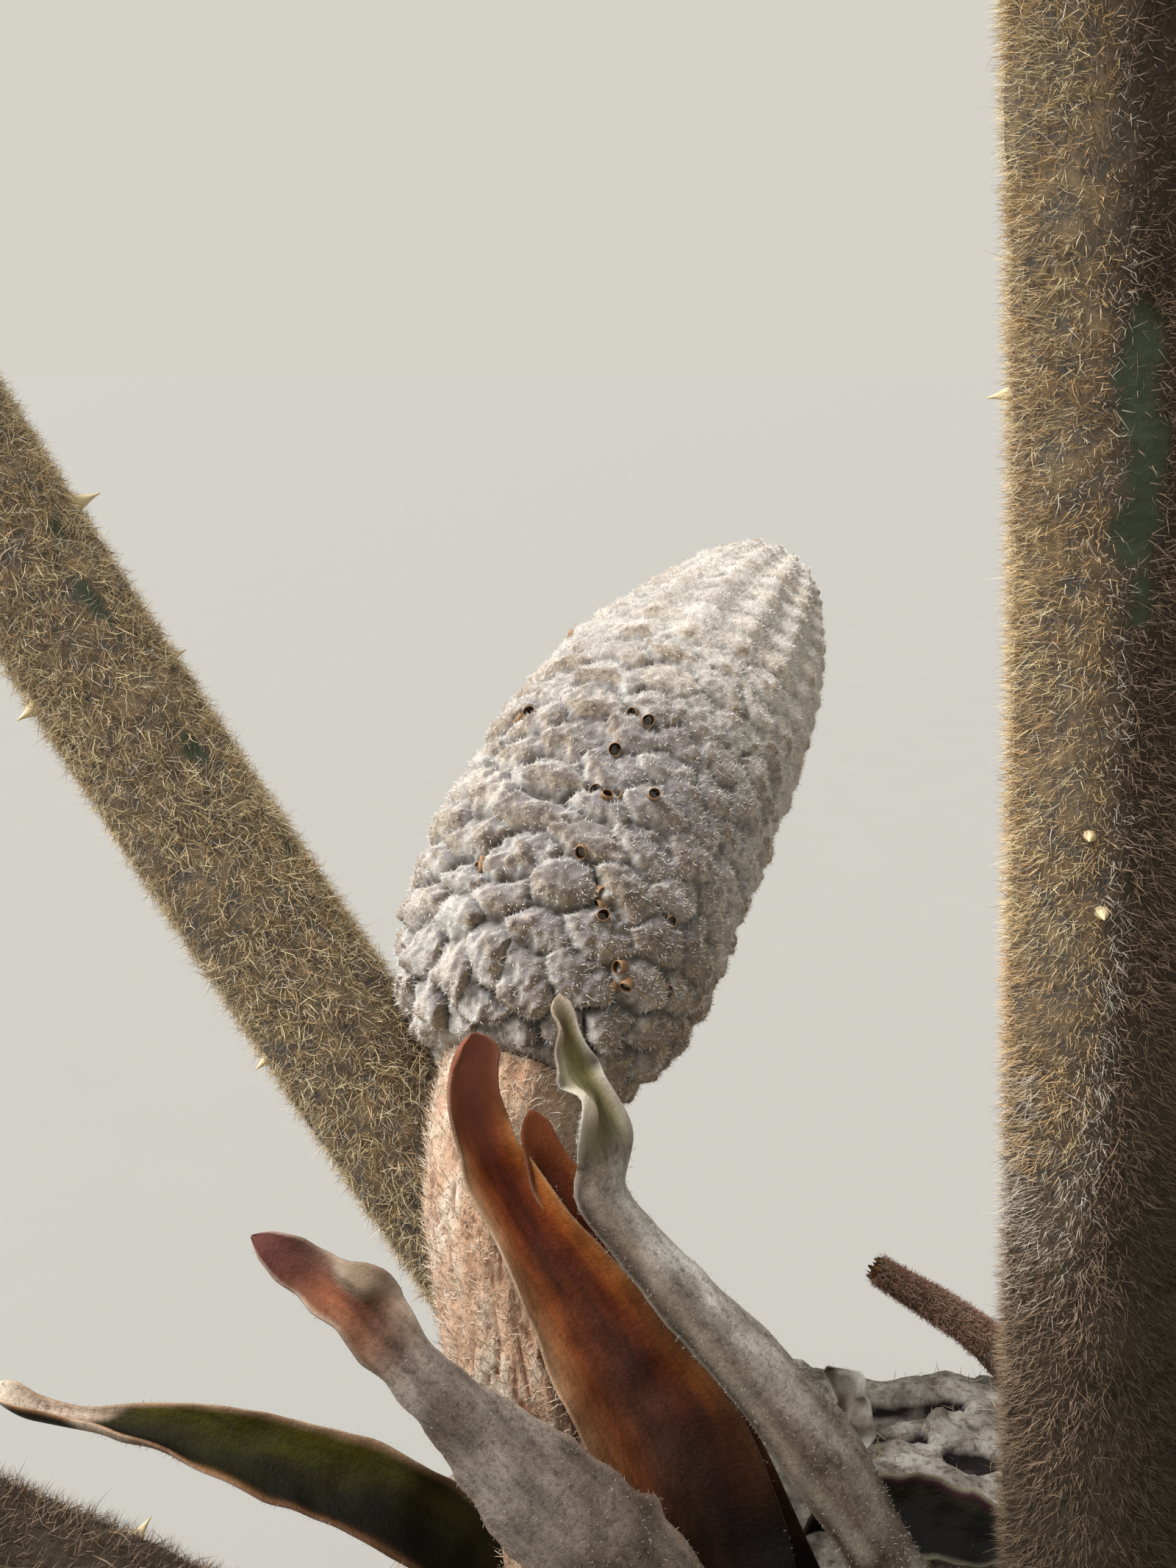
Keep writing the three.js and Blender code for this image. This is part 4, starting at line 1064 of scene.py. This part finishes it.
ringLeaves = {
    "bearings": [251, 275, 297, 320, 352, 12], "lean": (-4, -8), "reach": 26.5, "foot": 53,
    "rise": (21, 30), "spread": (9, 16), "half": [3.4, 4.3, 3.0, 0.8],
    "look": {"bands": [(0.0, "#c2ab8a"), (0.12, "#8a5a35"), (0.5, "#4a2a18"), (0.88, "#8a5a35"),
                       (1.0, "#c2ab8a")],
             "rim": "#c2ab8a", "tip": "#7a563a", "tipFrom": (0.95, 1.0), "felt": ("#958a78", "#c4b8a4")},
}
leafMesh = {
    "step": 0.45, "around": 52, "thickness": 0.85, "ripple": 0.3, "edgeWave": 0.2,
    "fuzz": {"length": (0.12, 0.26), "width": 0.016, "lift": (15, 75), "spread": 2.0, "bend": 0,
             "sunk": 0.05},
    "fuzzEach": 15,     # for each square millimetre of felt
    "ringShare": 0.3,   # the leaves of the ring have this share of it
    "greyShare": 0.4,
    "tipRun": 1.2,      # the tip is rounded over this length
    "drawnOut": 0.22,   # streaks along the leaf: less makes them longer
}


def chance(seed):
    value = math.sin(seed * 127.1 + 311.7) * 43758.5453
    return value - math.floor(value)


def addRingLeaves():
    middle = np.array([*ringLeaves["lean"], ringLeaves["foot"]], float)
    for i, bearing in enumerate(ringLeaves["bearings"]):
        out = np.array([math.cos(math.radians(bearing)), math.sin(math.radians(bearing)), 0])
        rise = ringLeaves["rise"][0] + np.ptp(ringLeaves["rise"]) * chance(i * 3 + 1)
        spread = ringLeaves["spread"][0] + np.ptp(ringLeaves["spread"]) * chance(i * 3 + 2)
        rows = []
        handles = [middle + out * (ringLeaves["reach"] + spread * o) + np.array([0, 0, rise * u])
                   for o, u in ((0, 0), (0.1, 0.5), (0.5, 0.8), (1, 1))]
        for t in np.linspace(0, 1, 9):
            point = curveAt(handles, t)[0]
            half = blendValues(ringLeaves["half"], np.array(t))
            face = -out + np.array([0, 0, 0.2 + 0.8 * t])
            rows.append((*point, half, half, 0.15 + 0.25 * t, *face, 0))
        scaleLeaves.append({"name": f"scale_leaf_ring_{i + 1}", "slot": "grey_felt",
                            "look": ringLeaves["look"], "rows": rows})


# Dead scale leaf, dried in the air: one side smooth and waxy, red-brown to olive, paler where it thins to the
# rim; the other side a grey-cream felt of flattened hairs, quite matt. Both have faint streaks along the leaf
def driedLeafMaterial(name, look):
    material, tree, surface, place = startMaterial(name, Specular_IOR_Level=0.15)
    values = {k: addNode(tree, "ShaderNodeAttribute", attribute_name=k).outputs["Fac"]
              for k in ("across", "share", "run", "reach", "felt", "fold")}
    flow = addNode(tree, "ShaderNodeCombineXYZ", {"X": values["across"], "Y": values["run"]})
    streak = addNode(tree, "ShaderNodeTexNoise", {"Vector": flow, "Scale": 0.9, "Detail": 6.0,
                                                  "Roughness": 0.65})
    fine = addNode(tree, "ShaderNodeTexNoise", {"Vector": place, "Scale": 1 / (0.5 * mm), "Detail": 6.0,
                                                "Roughness": 0.75})
    cloud = addNode(tree, "ShaderNodeTexNoise", {"Vector": place, "Scale": 1 / (6 * mm), "Detail": 4.0})
    bands = addNode(tree, "ShaderNodeValToRGB", {"Fac": values["share"]}, look["bands"])
    # low down, bands with a painted shadow on one edge take over
    if "low" in look:
        low = addNode(tree, "ShaderNodeValToRGB", {"Fac": values["share"]}, look["low"])
        rise = addNode(tree, "ShaderNodeValToRGB", {"Fac": values["reach"]},
                       [(0.3, "#000000"), (0.75, "#ffffff")])
        bands = addNode(tree, "ShaderNodeMixRGB", {"Fac": rise, "Color1": low, "Color2": bands})
    light = addNode(tree, "ShaderNodeValToRGB", {"Fac": streak}, [(0.3, "#a8a8a8"), (0.7, "#ffffff")])
    waxy = addNode(tree, "ShaderNodeMixRGB", {"Fac": 1.0, "Color1": bands, "Color2": light},
                   blend_type="MULTIPLY")
    # hairs of the felt, 0.02 mm thick, are drawn as specks of 0.5 mm
    matted = addNode(tree, "ShaderNodeValToRGB", {"Fac": streak},
                     [(0.32, look["felt"][0]), (0.68, look["felt"][1])])
    speck = addNode(tree, "ShaderNodeValToRGB", {"Fac": fine}, [(0.36, "#a3968a"), (0.5, "#ffffff")])
    matted = addNode(tree, "ShaderNodeMixRGB", {"Fac": 0.7, "Color1": matted, "Color2": speck},
                     blend_type="MULTIPLY")
    # painted shade: the felt darker towards one side
    if "paintedSideShade" in look:
        paintedSideShade = addNode(tree, "ShaderNodeValToRGB", {"Fac": values["share"]}, look["paintedSideShade"])
        matted = addNode(tree, "ShaderNodeMixRGB", {"Fac": 1.0, "Color1": matted, "Color2": paintedSideShade},
                         blend_type="MULTIPLY")
    mixed = addNode(tree, "ShaderNodeMixRGB", {"Fac": values["felt"], "Color1": waxy, "Color2": matted})
    end = addNode(tree, "ShaderNodeValToRGB", {"Fac": values["reach"]},
                  [(look["tipFrom"][0], "#000000"), (look["tipFrom"][1], "#ffffff")])
    mixed = addNode(tree, "ShaderNodeMixRGB", {"Fac": end, "Color1": mixed, "Color2": look["tip"]})
    if "rim" in look:
        rim = addNode(tree, "ShaderNodeValToRGB", {"Fac": values["share"]},
                      [(0.0, "#b0b0b0"), (0.08, "#000000"), (0.92, "#000000"), (1.0, "#b0b0b0")])
        mixed = addNode(tree, "ShaderNodeMixRGB", {"Fac": rim, "Color1": mixed, "Color2": look["rim"]})
    # painted shade: the leaves darken towards their foot, where the other leaves shade them
    paintedFootShade = addNode(tree, "ShaderNodeValToRGB", {"Fac": values["reach"]},
                   look.get("paintedFootShade", [(0.1, "#6b635d"), (0.42, "#c4bdb7"), (0.72, "#ffffff")]))
    mixed = addNode(tree, "ShaderNodeMixRGB", {"Fac": 1.0, "Color1": mixed, "Color2": paintedFootShade},
                    blend_type="MULTIPLY")
    # worn pale on a fold's crest; darker in its hollow as painted shade
    crest = addNode(tree, "ShaderNodeValToRGB", {"Fac": values["fold"]}, [(0.6, "#000000"), (0.9, "#c0c0c0")])
    mixed = addNode(tree, "ShaderNodeMixRGB", {"Fac": crest, "Color1": mixed, "Color2": "#ddd2bb"})
    dip = addNode(tree, "ShaderNodeValToRGB", {"Fac": values["fold"]}, [(0.1, "#80706a"), (0.45, "#ffffff")])
    mixed = addNode(tree, "ShaderNodeMixRGB", {"Fac": 1.0, "Color1": mixed, "Color2": dip},
                    blend_type="MULTIPLY")
    dusk = addNode(tree, "ShaderNodeValToRGB", {"Fac": cloud}, [(0.36, "#b3a79e"), (0.58, "#ffffff")])
    mixed = addNode(tree, "ShaderNodeMixRGB", {"Fac": 1.0, "Color1": mixed, "Color2": dusk},
                    blend_type="MULTIPLY")
    dull = addNode(tree, "ShaderNodeMapRange", {"Value": values["felt"], "To Min": 0.55, "To Max": 0.95})
    relief = addNode(tree, "ShaderNodeMath", {0: streak, 1: fine}, operation="ADD")
    bump = addNode(tree, "ShaderNodeBump", {"Height": relief, "Distance": 0.18 * mm})
    tree.links.new(dull.outputs["Result"], surface.inputs["Roughness"])
    wireUp(tree, surface, mixed, bump)
    return material


# folds of a leaf: how far each point is lifted, and how near it is to a crest (1) or a hollow (-1)
def leafFolds(leaf, t, s, sheet):
    lift, near = np.zeros(sheet.shape[:2]), np.zeros(sheet.shape[:2])
    for share, across, otherShare, otherAcross, radius, height in leaf.get("folds", []):
        ends = [sheet[np.argmin(np.abs(t - a)), np.argmin(np.abs(s - b))]
                for a, b in ((share, across), (otherShare, otherAcross))]
        way = ends[1] - ends[0]
        along = np.clip((sheet - ends[0]) @ way / max(way @ way, 0.01), 0, 1)
        away = np.linalg.norm(sheet - ends[0] - along[..., None] * way, axis=-1) / radius
        lift += height * np.exp(-away ** 2)
        near += np.clip(height, -1, 1) * np.exp(-away ** 2)
    return lift, near


# a closed flat tube: its points go once round, over the side shown and back under it
def leafGrid(leaf, seed):
    fine = throughRows(leaf["rows"], np.linspace(0, 1, 300))[0][:, :3]
    run = np.concatenate([[0], np.cumsum(np.linalg.norm(np.diff(fine, axis=0), axis=1))])
    count = max(int(run[-1] / leafMesh["step"]), 12)
    t = np.interp(np.linspace(0, run[-1], count), run, np.linspace(0, 1, 300))
    row, slope = throughRows(leaf["rows"], t)
    along = unit(slope[:, :3])
    facing = row[:, 6:9] - along * np.sum(row[:, 6:9] * along, axis=1, keepdims=True)
    facing = unit(facing)
    side = np.cross(along, facing)
    turn = (np.arange(leafMesh["around"]) + 0.5) / leafMesh["around"] * 2 * np.pi
    s = np.cos(turn)[None]
    runs = np.linspace(0, run[-1], count)[:, None]
    rounded = np.sqrt(np.clip((run[-1] - runs) / leafMesh["tipRun"], 0.02, 1))
    width = np.where(s < 0, row[:, 3:4], row[:, 4:5]) * s * rounded
    brink = np.stack(np.broadcast_arrays(runs, 3.0 * np.sign(s), 0.0), -1)
    width = width * (1 + leaf.get("ragged", 0) * roughness(brink, 1.7, 2, seed + 5))
    curve = row[:, 5:6]
    # rolled across its width: an arc as long as the width
    bow = curve * width
    aside = width * np.sinc(bow / np.pi)
    raised = curve * width ** 2 / 2 * np.sinc(bow / 2 / np.pi) ** 2
    sheet = row[:, None, :3] + side[:, None] * aside[..., None] + facing[:, None] * raised[..., None]
    lift = facing[:, None] * np.cos(bow)[..., None] - side[:, None] * np.sin(bow)[..., None]
    wave = leafMesh["ripple"] * roughness(sheet, 4.0, 2, seed)
    wave = wave + leafMesh["edgeWave"] * np.abs(s) ** 4 * lumps(sheet, 4.5, seed + 1)
    wave = wave + leaf.get("crumple", 0) * roughness(sheet, 1.8, 2, seed + 2)
    folded, near = leafFolds(leaf, t, s[0], sheet)
    wave = wave + folded
    half = leafMesh["thickness"] / 2 * (1 - 0.35 * t[:, None]) * (1 - 0.4 * s ** 2) * rounded
    skin = half * np.sign(np.sin(turn)) * np.abs(np.sin(turn)) ** 0.4
    grid = sheet + lift * (wave + skin)[..., None]
    felted = row[:, 9:10] + 0 * width
    if "turned" in leaf:
        felted = smoothStep(-0.02, 0.02, t[:, None] - leaf["turned"][0] + leaf["turned"][1] * s)
    shown = np.sin(turn)[None] > 0
    values = {"across": width, "share": 0.5 + 0.5 * s + 0 * width,
              "run": runs * leafMesh["drawnOut"] + 0 * width,
              "reach": runs / run[-1] + 0 * width, "felt": np.clip(np.where(shown, felted, 1 - felted), 0, 1),
              "fold": 0.5 + 0.5 * np.clip(near, -1, 1)}
    return grid[:, ::-1], {k: v[:, ::-1] for k, v in values.items()}


def makeScaleLeaves():
    for leaf in scaleLeaves:
        if "photoRows" in leaf:
            leaf["rows"] = [(*fromPhoto(*row[:3]), *row[3:]) for row in leaf["photoRows"]]
    addRingLeaves()
    looks = {}
    pale = [hairMaterial("leafFuzzCream", "#958d82"), hairMaterial("leafFuzzGrey", "#756e65")]
    for seed, leaf in enumerate(scaleLeaves):
        grid, values = leafGrid(leaf, 60 + 3 * seed)
        piece = newPiece()
        addTube(piece, grid, **values)
        normals = gridNormals(grid)
        # felt hairs, as many on each square millimetre
        size = np.linalg.norm(np.cross(np.roll(grid, -1, axis=1) - grid, np.gradient(grid, axis=0)), axis=-1)
        share = (size * smoothStep(0.4, 0.9, values["felt"])).ravel()
        density = leafMesh["fuzzEach"] * (leafMesh["ringShare"] if "ring" in leaf["name"] else 1)
        pick = dice.choice(share.size, int(share.sum() * density), p=share / share.sum())
        growHairs(piece, grid.reshape(-1, 3)[pick] + dice.normal(0, 0.12, (len(pick), 3)),
                  normals.reshape(-1, 3)[pick], dice.normal(0, 1, (len(pick), 3)), leafMesh["fuzz"],
                  1 + (dice.random(len(pick)) < leafMesh["greyShare"]))
        key = id(leaf["look"])
        if key not in looks:
            looks[key] = driedLeafMaterial(leaf["name"] + "_dried", leaf["look"])
        finishPiece(piece, leaf["name"] + "_blade", [looks[key]] + pale, [leaf["name"]])


makeScaleLeaves()


# Old leaf feet: broken stumps on the stem's edge

oldFeet = {
    # bearing, length, radius
    "feet": [(340, 20, 6.6), (22, 17, 7.2), (110, 11, 6.0), (138, 12, 6.2), (268, 17, 6.8)],
    "lean": (-4, -8), "reach": 27, "height": 52, "flatness": 0.68, "rise": 0.62, "taper": 0.28,
    "around": 56, "step": 0.6,
    # the break, from its rim inwards: share of the radius, rise in mm
    "break": [(0.94, 0.2), (0.8, -0.6), (0.5, -1.3), (0.25, -1.1)],
    "ragged": 0.7,
    "hair": {"length": (0.8, 1.8), "width": 0.045, "lift": (8, 45), "spread": 0.7, "bend": 0.3, "sunk": 0.1},
    "hairCount": 3200,
}


def makeOldFeet():
    for index, (bearing, length, radius) in enumerate(oldFeet["feet"]):
        angle = math.radians(bearing)
        out = unit(np.array([math.cos(angle), math.sin(angle), oldFeet["rise"]]))
        across = np.array([-math.sin(angle), math.cos(angle), 0])
        up = np.cross(out, across)
        start = np.array([oldFeet["lean"][0] + oldFeet["reach"] * math.cos(angle),
                          oldFeet["lean"][1] + oldFeet["reach"] * math.sin(angle), oldFeet["height"]])
        around = oldFeet["around"]
        turn = np.arange(around) / around * 2 * np.pi
        t = np.linspace(0, 1, int(length / oldFeet["step"]))[:, None, None]
        ring = across * np.cos(turn)[:, None] + up * oldFeet["flatness"] * np.sin(turn)[:, None]
        grid = start + out * length * t + ring * radius * (1 - oldFeet["taper"] * t)
        grid = grid + unit(ring) * (0.45 * roughness(grid, 4.0, 3, 71 + index))[..., None]
        # the break: fibres of uneven length round a sunken middle
        ragged = oldFeet["ragged"] * dice.normal(0, 1, around)
        middle = grid[-1].mean(axis=0)
        end = [middle + (grid[-1] - middle) * share + out * (rise + ragged * share)[:, None]
               for share, rise in oldFeet["break"]]
        grid = np.concatenate([grid, end])
        rings = len(t)
        numbers = np.repeat(np.where(np.arange(len(grid) - 1) < rings - 1, 0, 1), around)
        piece = newPiece()
        addTube(piece, grid, numbers, 1, bare=np.zeros(grid.shape[:2]))
        normals = gridNormals(grid)
        count = oldFeet["hairCount"]
        i, j = dice.integers(1, rings, count), dice.integers(0, around, count)
        growHairs(piece, grid[i, j] + dice.normal(0, 0.1, (count, 3)), normals[i, j],
                  np.broadcast_to(out, (count, 3)), oldFeet["hair"], 2 + hairKinds(grid[i, j], 75, 2.8))
        name = f"old_leaf_foot_{index + 1}"
        finishPiece(piece, name + "_stump", [skinLook, breakLook] + stalkHairs, [name])


makeOldFeet()


# The stem

stem = {
    "height": 58, "mound": 2.2, "groundRadius": 44.5, "waistRadius": 40, "crownRadius": 30,
    "lean": (-4, -8), "shoulder": 11, "flareHeight": 14,
    "scarColumns": 12, "scarRows": 5, "scarHeight": 2.6,
    "scarClimb": 2,                  # whole even rows in one turn, so that the rows meet
    "around": 340, "step": 0.8,
    # heights of the bark: swellings, ridges and the most that a ridge rises, crumbs, pits, pits of the top
    "relief": {"swell": 0.9, "ridge": 0.9, "highest": 0.35, "crumbs": 0.45, "pit": 0.5, "topPit": 1.1},
    "dip": {"place": (2.5, 31.0), "width": 8.0, "depth": 5.5},   # hollow in the far shoulder
    "wool": {"length": (1.0, 2.2), "width": 0.035, "lift": (10, 80), "spread": 3.0, "bend": 0.5, "sunk": 0.2},
    "woolCount": 3000,
}


# Old corky bark: a dead grey-white crust on the top, brown on the side, darker in pits and cracks as painted
# shade
def barkMaterial():
    material, tree, surface, place = startMaterial("corkyBark", Roughness=0.95, Specular_IOR_Level=0.2)
    hollow = addNode(tree, "ShaderNodeAttribute", attribute_name="hollow").outputs["Fac"]
    crust = addNode(tree, "ShaderNodeAttribute", attribute_name="crust").outputs["Fac"]
    patch = addNode(tree, "ShaderNodeTexNoise", {"Vector": place, "Scale": 1 / (6 * mm), "Detail": 6.0,
                                                 "Roughness": 0.65})
    bark = addNode(tree, "ShaderNodeValToRGB", {"Fac": patch},
                   [(0.34, "#6e6660"), (0.48, "#968e85"), (0.62, "#cbc4bb")])
    brown = addNode(tree, "ShaderNodeValToRGB", {"Fac": patch},
                    [(0.34, "#5a4c40"), (0.48, "#7a6a5a"), (0.62, "#9c8e7e")])
    bark = addNode(tree, "ShaderNodeMixRGB", {"Fac": crust, "Color1": brown, "Color2": bark})
    fine = addNode(tree, "ShaderNodeTexNoise", {"Vector": place, "Scale": 1 / (0.9 * mm), "Detail": 6.0,
                                                "Roughness": 0.7})
    speck = addNode(tree, "ShaderNodeValToRGB", {"Fac": fine}, [(0.36, "#8a7a68"), (0.52, "#ffffff")])
    bark = addNode(tree, "ShaderNodeMixRGB", {"Fac": 0.8, "Color1": bark, "Color2": speck},
                   blend_type="MULTIPLY")
    # painted shade: pits and cracks darken towards near black
    deep = addNode(tree, "ShaderNodeValToRGB", {"Fac": hollow}, [(0.5, "#000000"), (0.74, "#ffffff")])
    pit = addNode(tree, "ShaderNodeMixRGB", {"Fac": crust, "Color1": "#46392f", "Color2": "#221c1d"})
    bark = addNode(tree, "ShaderNodeMixRGB", {"Fac": deep, "Color1": bark, "Color2": pit})
    bump = addNode(tree, "ShaderNodeBump", {"Height": fine, "Distance": 0.6 * mm})
    wireUp(tree, surface, bark, bump)
    return material


def stemRadius(z):
    flare = np.maximum(0, 1 - z / stem["flareHeight"])
    side = stem["waistRadius"] + (stem["groundRadius"] - stem["waistRadius"]) * flare * flare
    rise = np.maximum(0, (z - (stem["height"] - stem["shoulder"])) / stem["shoulder"])
    edge = np.sqrt(np.maximum(0, 1 - rise * rise))
    return stem["crownRadius"] + (side - stem["crownRadius"]) * edge


def makeStem():
    shoulder = stem["height"] - stem["shoulder"]
    rounding = shoulder + stem["shoulder"] * np.sin(np.linspace(0.02, 1.57, 60))
    z = np.concatenate([np.linspace(0, shoulder, 80), rounding])
    inward = np.linspace(0, 1, 40)[1:]
    radius = np.concatenate([stemRadius(z), stem["crownRadius"] * (1 - inward)])
    z = np.concatenate([z, stem["height"] + stem["mound"] * np.sin(inward * np.pi / 2)])
    run = np.concatenate([[0], np.cumsum(np.hypot(np.diff(z), np.diff(radius)))])
    even = np.linspace(0, run[-1] - 1.0, int(run[-1] / stem["step"]))
    z, radius = np.interp(even, run, z), np.interp(even, run, radius)
    angle = np.arange(stem["around"]) / stem["around"] * 2 * np.pi
    lean = np.minimum(1, (z / stem["height"]) ** 1.3)[:, None]
    grid = np.stack([radius[:, None] * np.cos(angle) + stem["lean"][0] * lean,
                     radius[:, None] * np.sin(angle) + stem["lean"][1] * lean,
                     np.broadcast_to(z[:, None], (len(z), len(angle)))], -1)
    normals = gridNormals(grid)
    # old leaf scars in staggered rows that climb round the stem, as leaves grow in a spiral
    row = z[:, None] / stem["height"] * stem["scarRows"] + stem["scarClimb"] * angle[None] / (2 * np.pi)
    row = row + 0.2 * lumps(grid, 14.0, 51)
    stagger = np.where(np.floor(row) % 2 == 1, 0.5, 0.0)
    column = angle[None] / (2 * np.pi) * stem["scarColumns"] + stagger + 0.2 * lumps(grid, 12.0, 52)
    bump = np.abs(np.sin(np.pi * column)) * np.abs(np.sin(np.pi * row))
    fade = np.clip(np.minimum(z / 6, (stem["height"] - z) / 8), 0, 1)[:, None]
    relief, dip = stem["relief"], stem["dip"]
    ridge = np.minimum(ridges(grid, 4.5, 54), relief["highest"])
    bark = relief["swell"] * roughness(grid, 8.0, 3, 53) + relief["ridge"] * ridge
    # the top is a flatter crust, with pits
    top = smoothStep(stem["height"] - 7, stem["height"] - 1, z)[:, None]
    bark = bark * (1 - 0.65 * top) + relief["crumbs"] * roughness(grid, 2.0, 2, 56)
    bark = bark - (relief["pit"] + relief["topPit"] * top) * smoothStep(0.28, 0.6, lumps(grid, 4.2, 57))
    brow = smoothStep(stem["height"] - 18, stem["height"] - 8, z)[:, None]
    away = (grid[..., 0] - dip["place"][0]) ** 2 + (grid[..., 1] - dip["place"][1]) ** 2
    bark = bark - dip["depth"] * np.exp(-away / dip["width"] ** 2) * brow
    height = stem["scarHeight"] * bump ** 0.8 * fade
    height = height + bark * smoothStep(0, 5, even)[:, None] * smoothStep(0, 6, run[-1] - even)[:, None]
    grid = grid + normals * height[..., None]
    grid[..., 2] = np.maximum(grid[..., 2], 0)
    grid[0, :, 2] = 0
    hollow = np.clip(0.5 + hollowness(height, 3) * 0.4, 0, 1)
    piece = newPiece()
    addTube(piece, grid, hollow=hollow, crust=top + 0 * hollow)
    normals = gridNormals(grid)
    # wool between the leaf feet in the crown
    count = stem["woolCount"]
    first = int(np.searchsorted(even, run[-1] - stem["crownRadius"] - 4))
    share = radius[first:] / radius[first:].sum()
    i, j = first + dice.choice(len(share), count, p=share), dice.integers(0, stem["around"], count)
    near = smoothStep(-0.3, 0.25, lumps(grid[i, j], 9.0, 58))
    keep = dice.random(count) < near
    i, j = i[keep], j[keep]
    growHairs(piece, grid[i, j], normals[i, j], dice.normal(0, 1, (len(i), 3)), stem["wool"],
              1 + hairKinds(grid[i, j], 59, 1.8))
    finishPiece(piece, "stem_bark", [barkMaterial()] + stalkHairs, ["stem"])


makeStem()


# Stage, light and camera

studio = {
    "floorSize": 80.0, "floor": ("#8b8984", "#8d8b86"),
    "sky": "#f3f0e6", "skyStrength": 0.74,
    "sun": "#fcfdff", "sunStrength": 6.4, "sunAngle": 34,   # a wide sun gives soft edges to shadows
    "sunHeight": 57, "sunFrom": 190,                         # degrees; from the upper left
}


# Matt studio paint
def floorMaterial():
    material, tree, surface, place = startMaterial("paleStudioPaint", Roughness=0.85)
    grain = addNode(tree, "ShaderNodeTexNoise", {"Vector": place, "Scale": 40.0, "Detail": 4.0})
    paint = addNode(tree, "ShaderNodeMixRGB", {"Fac": grain, "Color1": studio["floor"][0],
                                                 "Color2": studio["floor"][1]})
    tree.links.new(paint.outputs["Color"], surface.inputs["Base Color"])
    return material


def makeStage():
    half = studio["floorSize"] / 2
    mesh = bpy.data.meshes.new("floor")
    corners = [(-half, -half, 0), (half, -half, 0), (half, half, 0), (-half, half, 0)]
    mesh.from_pydata(corners, [], [(0, 1, 2, 3)])
    mesh.materials.append(floorMaterial())
    floor = bpy.data.objects.new("floor", mesh)
    scene.collection.objects.link(floor)
    world = bpy.data.worlds.new("studio")
    scene.world = world
    world.use_nodes = True
    world.node_tree.nodes["Background"].inputs["Color"].default_value = colour(studio["sky"])
    world.node_tree.nodes["Background"].inputs["Strength"].default_value = studio["skyStrength"]
    data = bpy.data.lights.new("sun", "SUN")
    data.energy = studio["sunStrength"]
    data.angle = math.radians(studio["sunAngle"])
    data.color = colour(studio["sun"])[:3]
    sun = bpy.data.objects.new("sun", data)
    scene.collection.objects.link(sun)
    sun.rotation_euler = (math.radians(90 - studio["sunHeight"]), 0, math.radians(studio["sunFrom"] + 90))


def makeCamera():
    data = bpy.data.cameras.new("camera")
    data.sensor_width = 36
    data.lens = data.sensor_width * photoCamera["focal"] / photoCamera["height"]
    data.clip_start = 0.005
    camera = bpy.data.objects.new("camera", data)
    scene.collection.objects.link(camera)
    camera.location = [c * mm for c in photoCamera["place"]]
    camera.rotation_euler = (math.radians(90 - photoCamera["pitch"]), 0, 0)
    scene.camera = camera


makeStage()
makeCamera()
scene.view_settings.view_transform = "Standard"
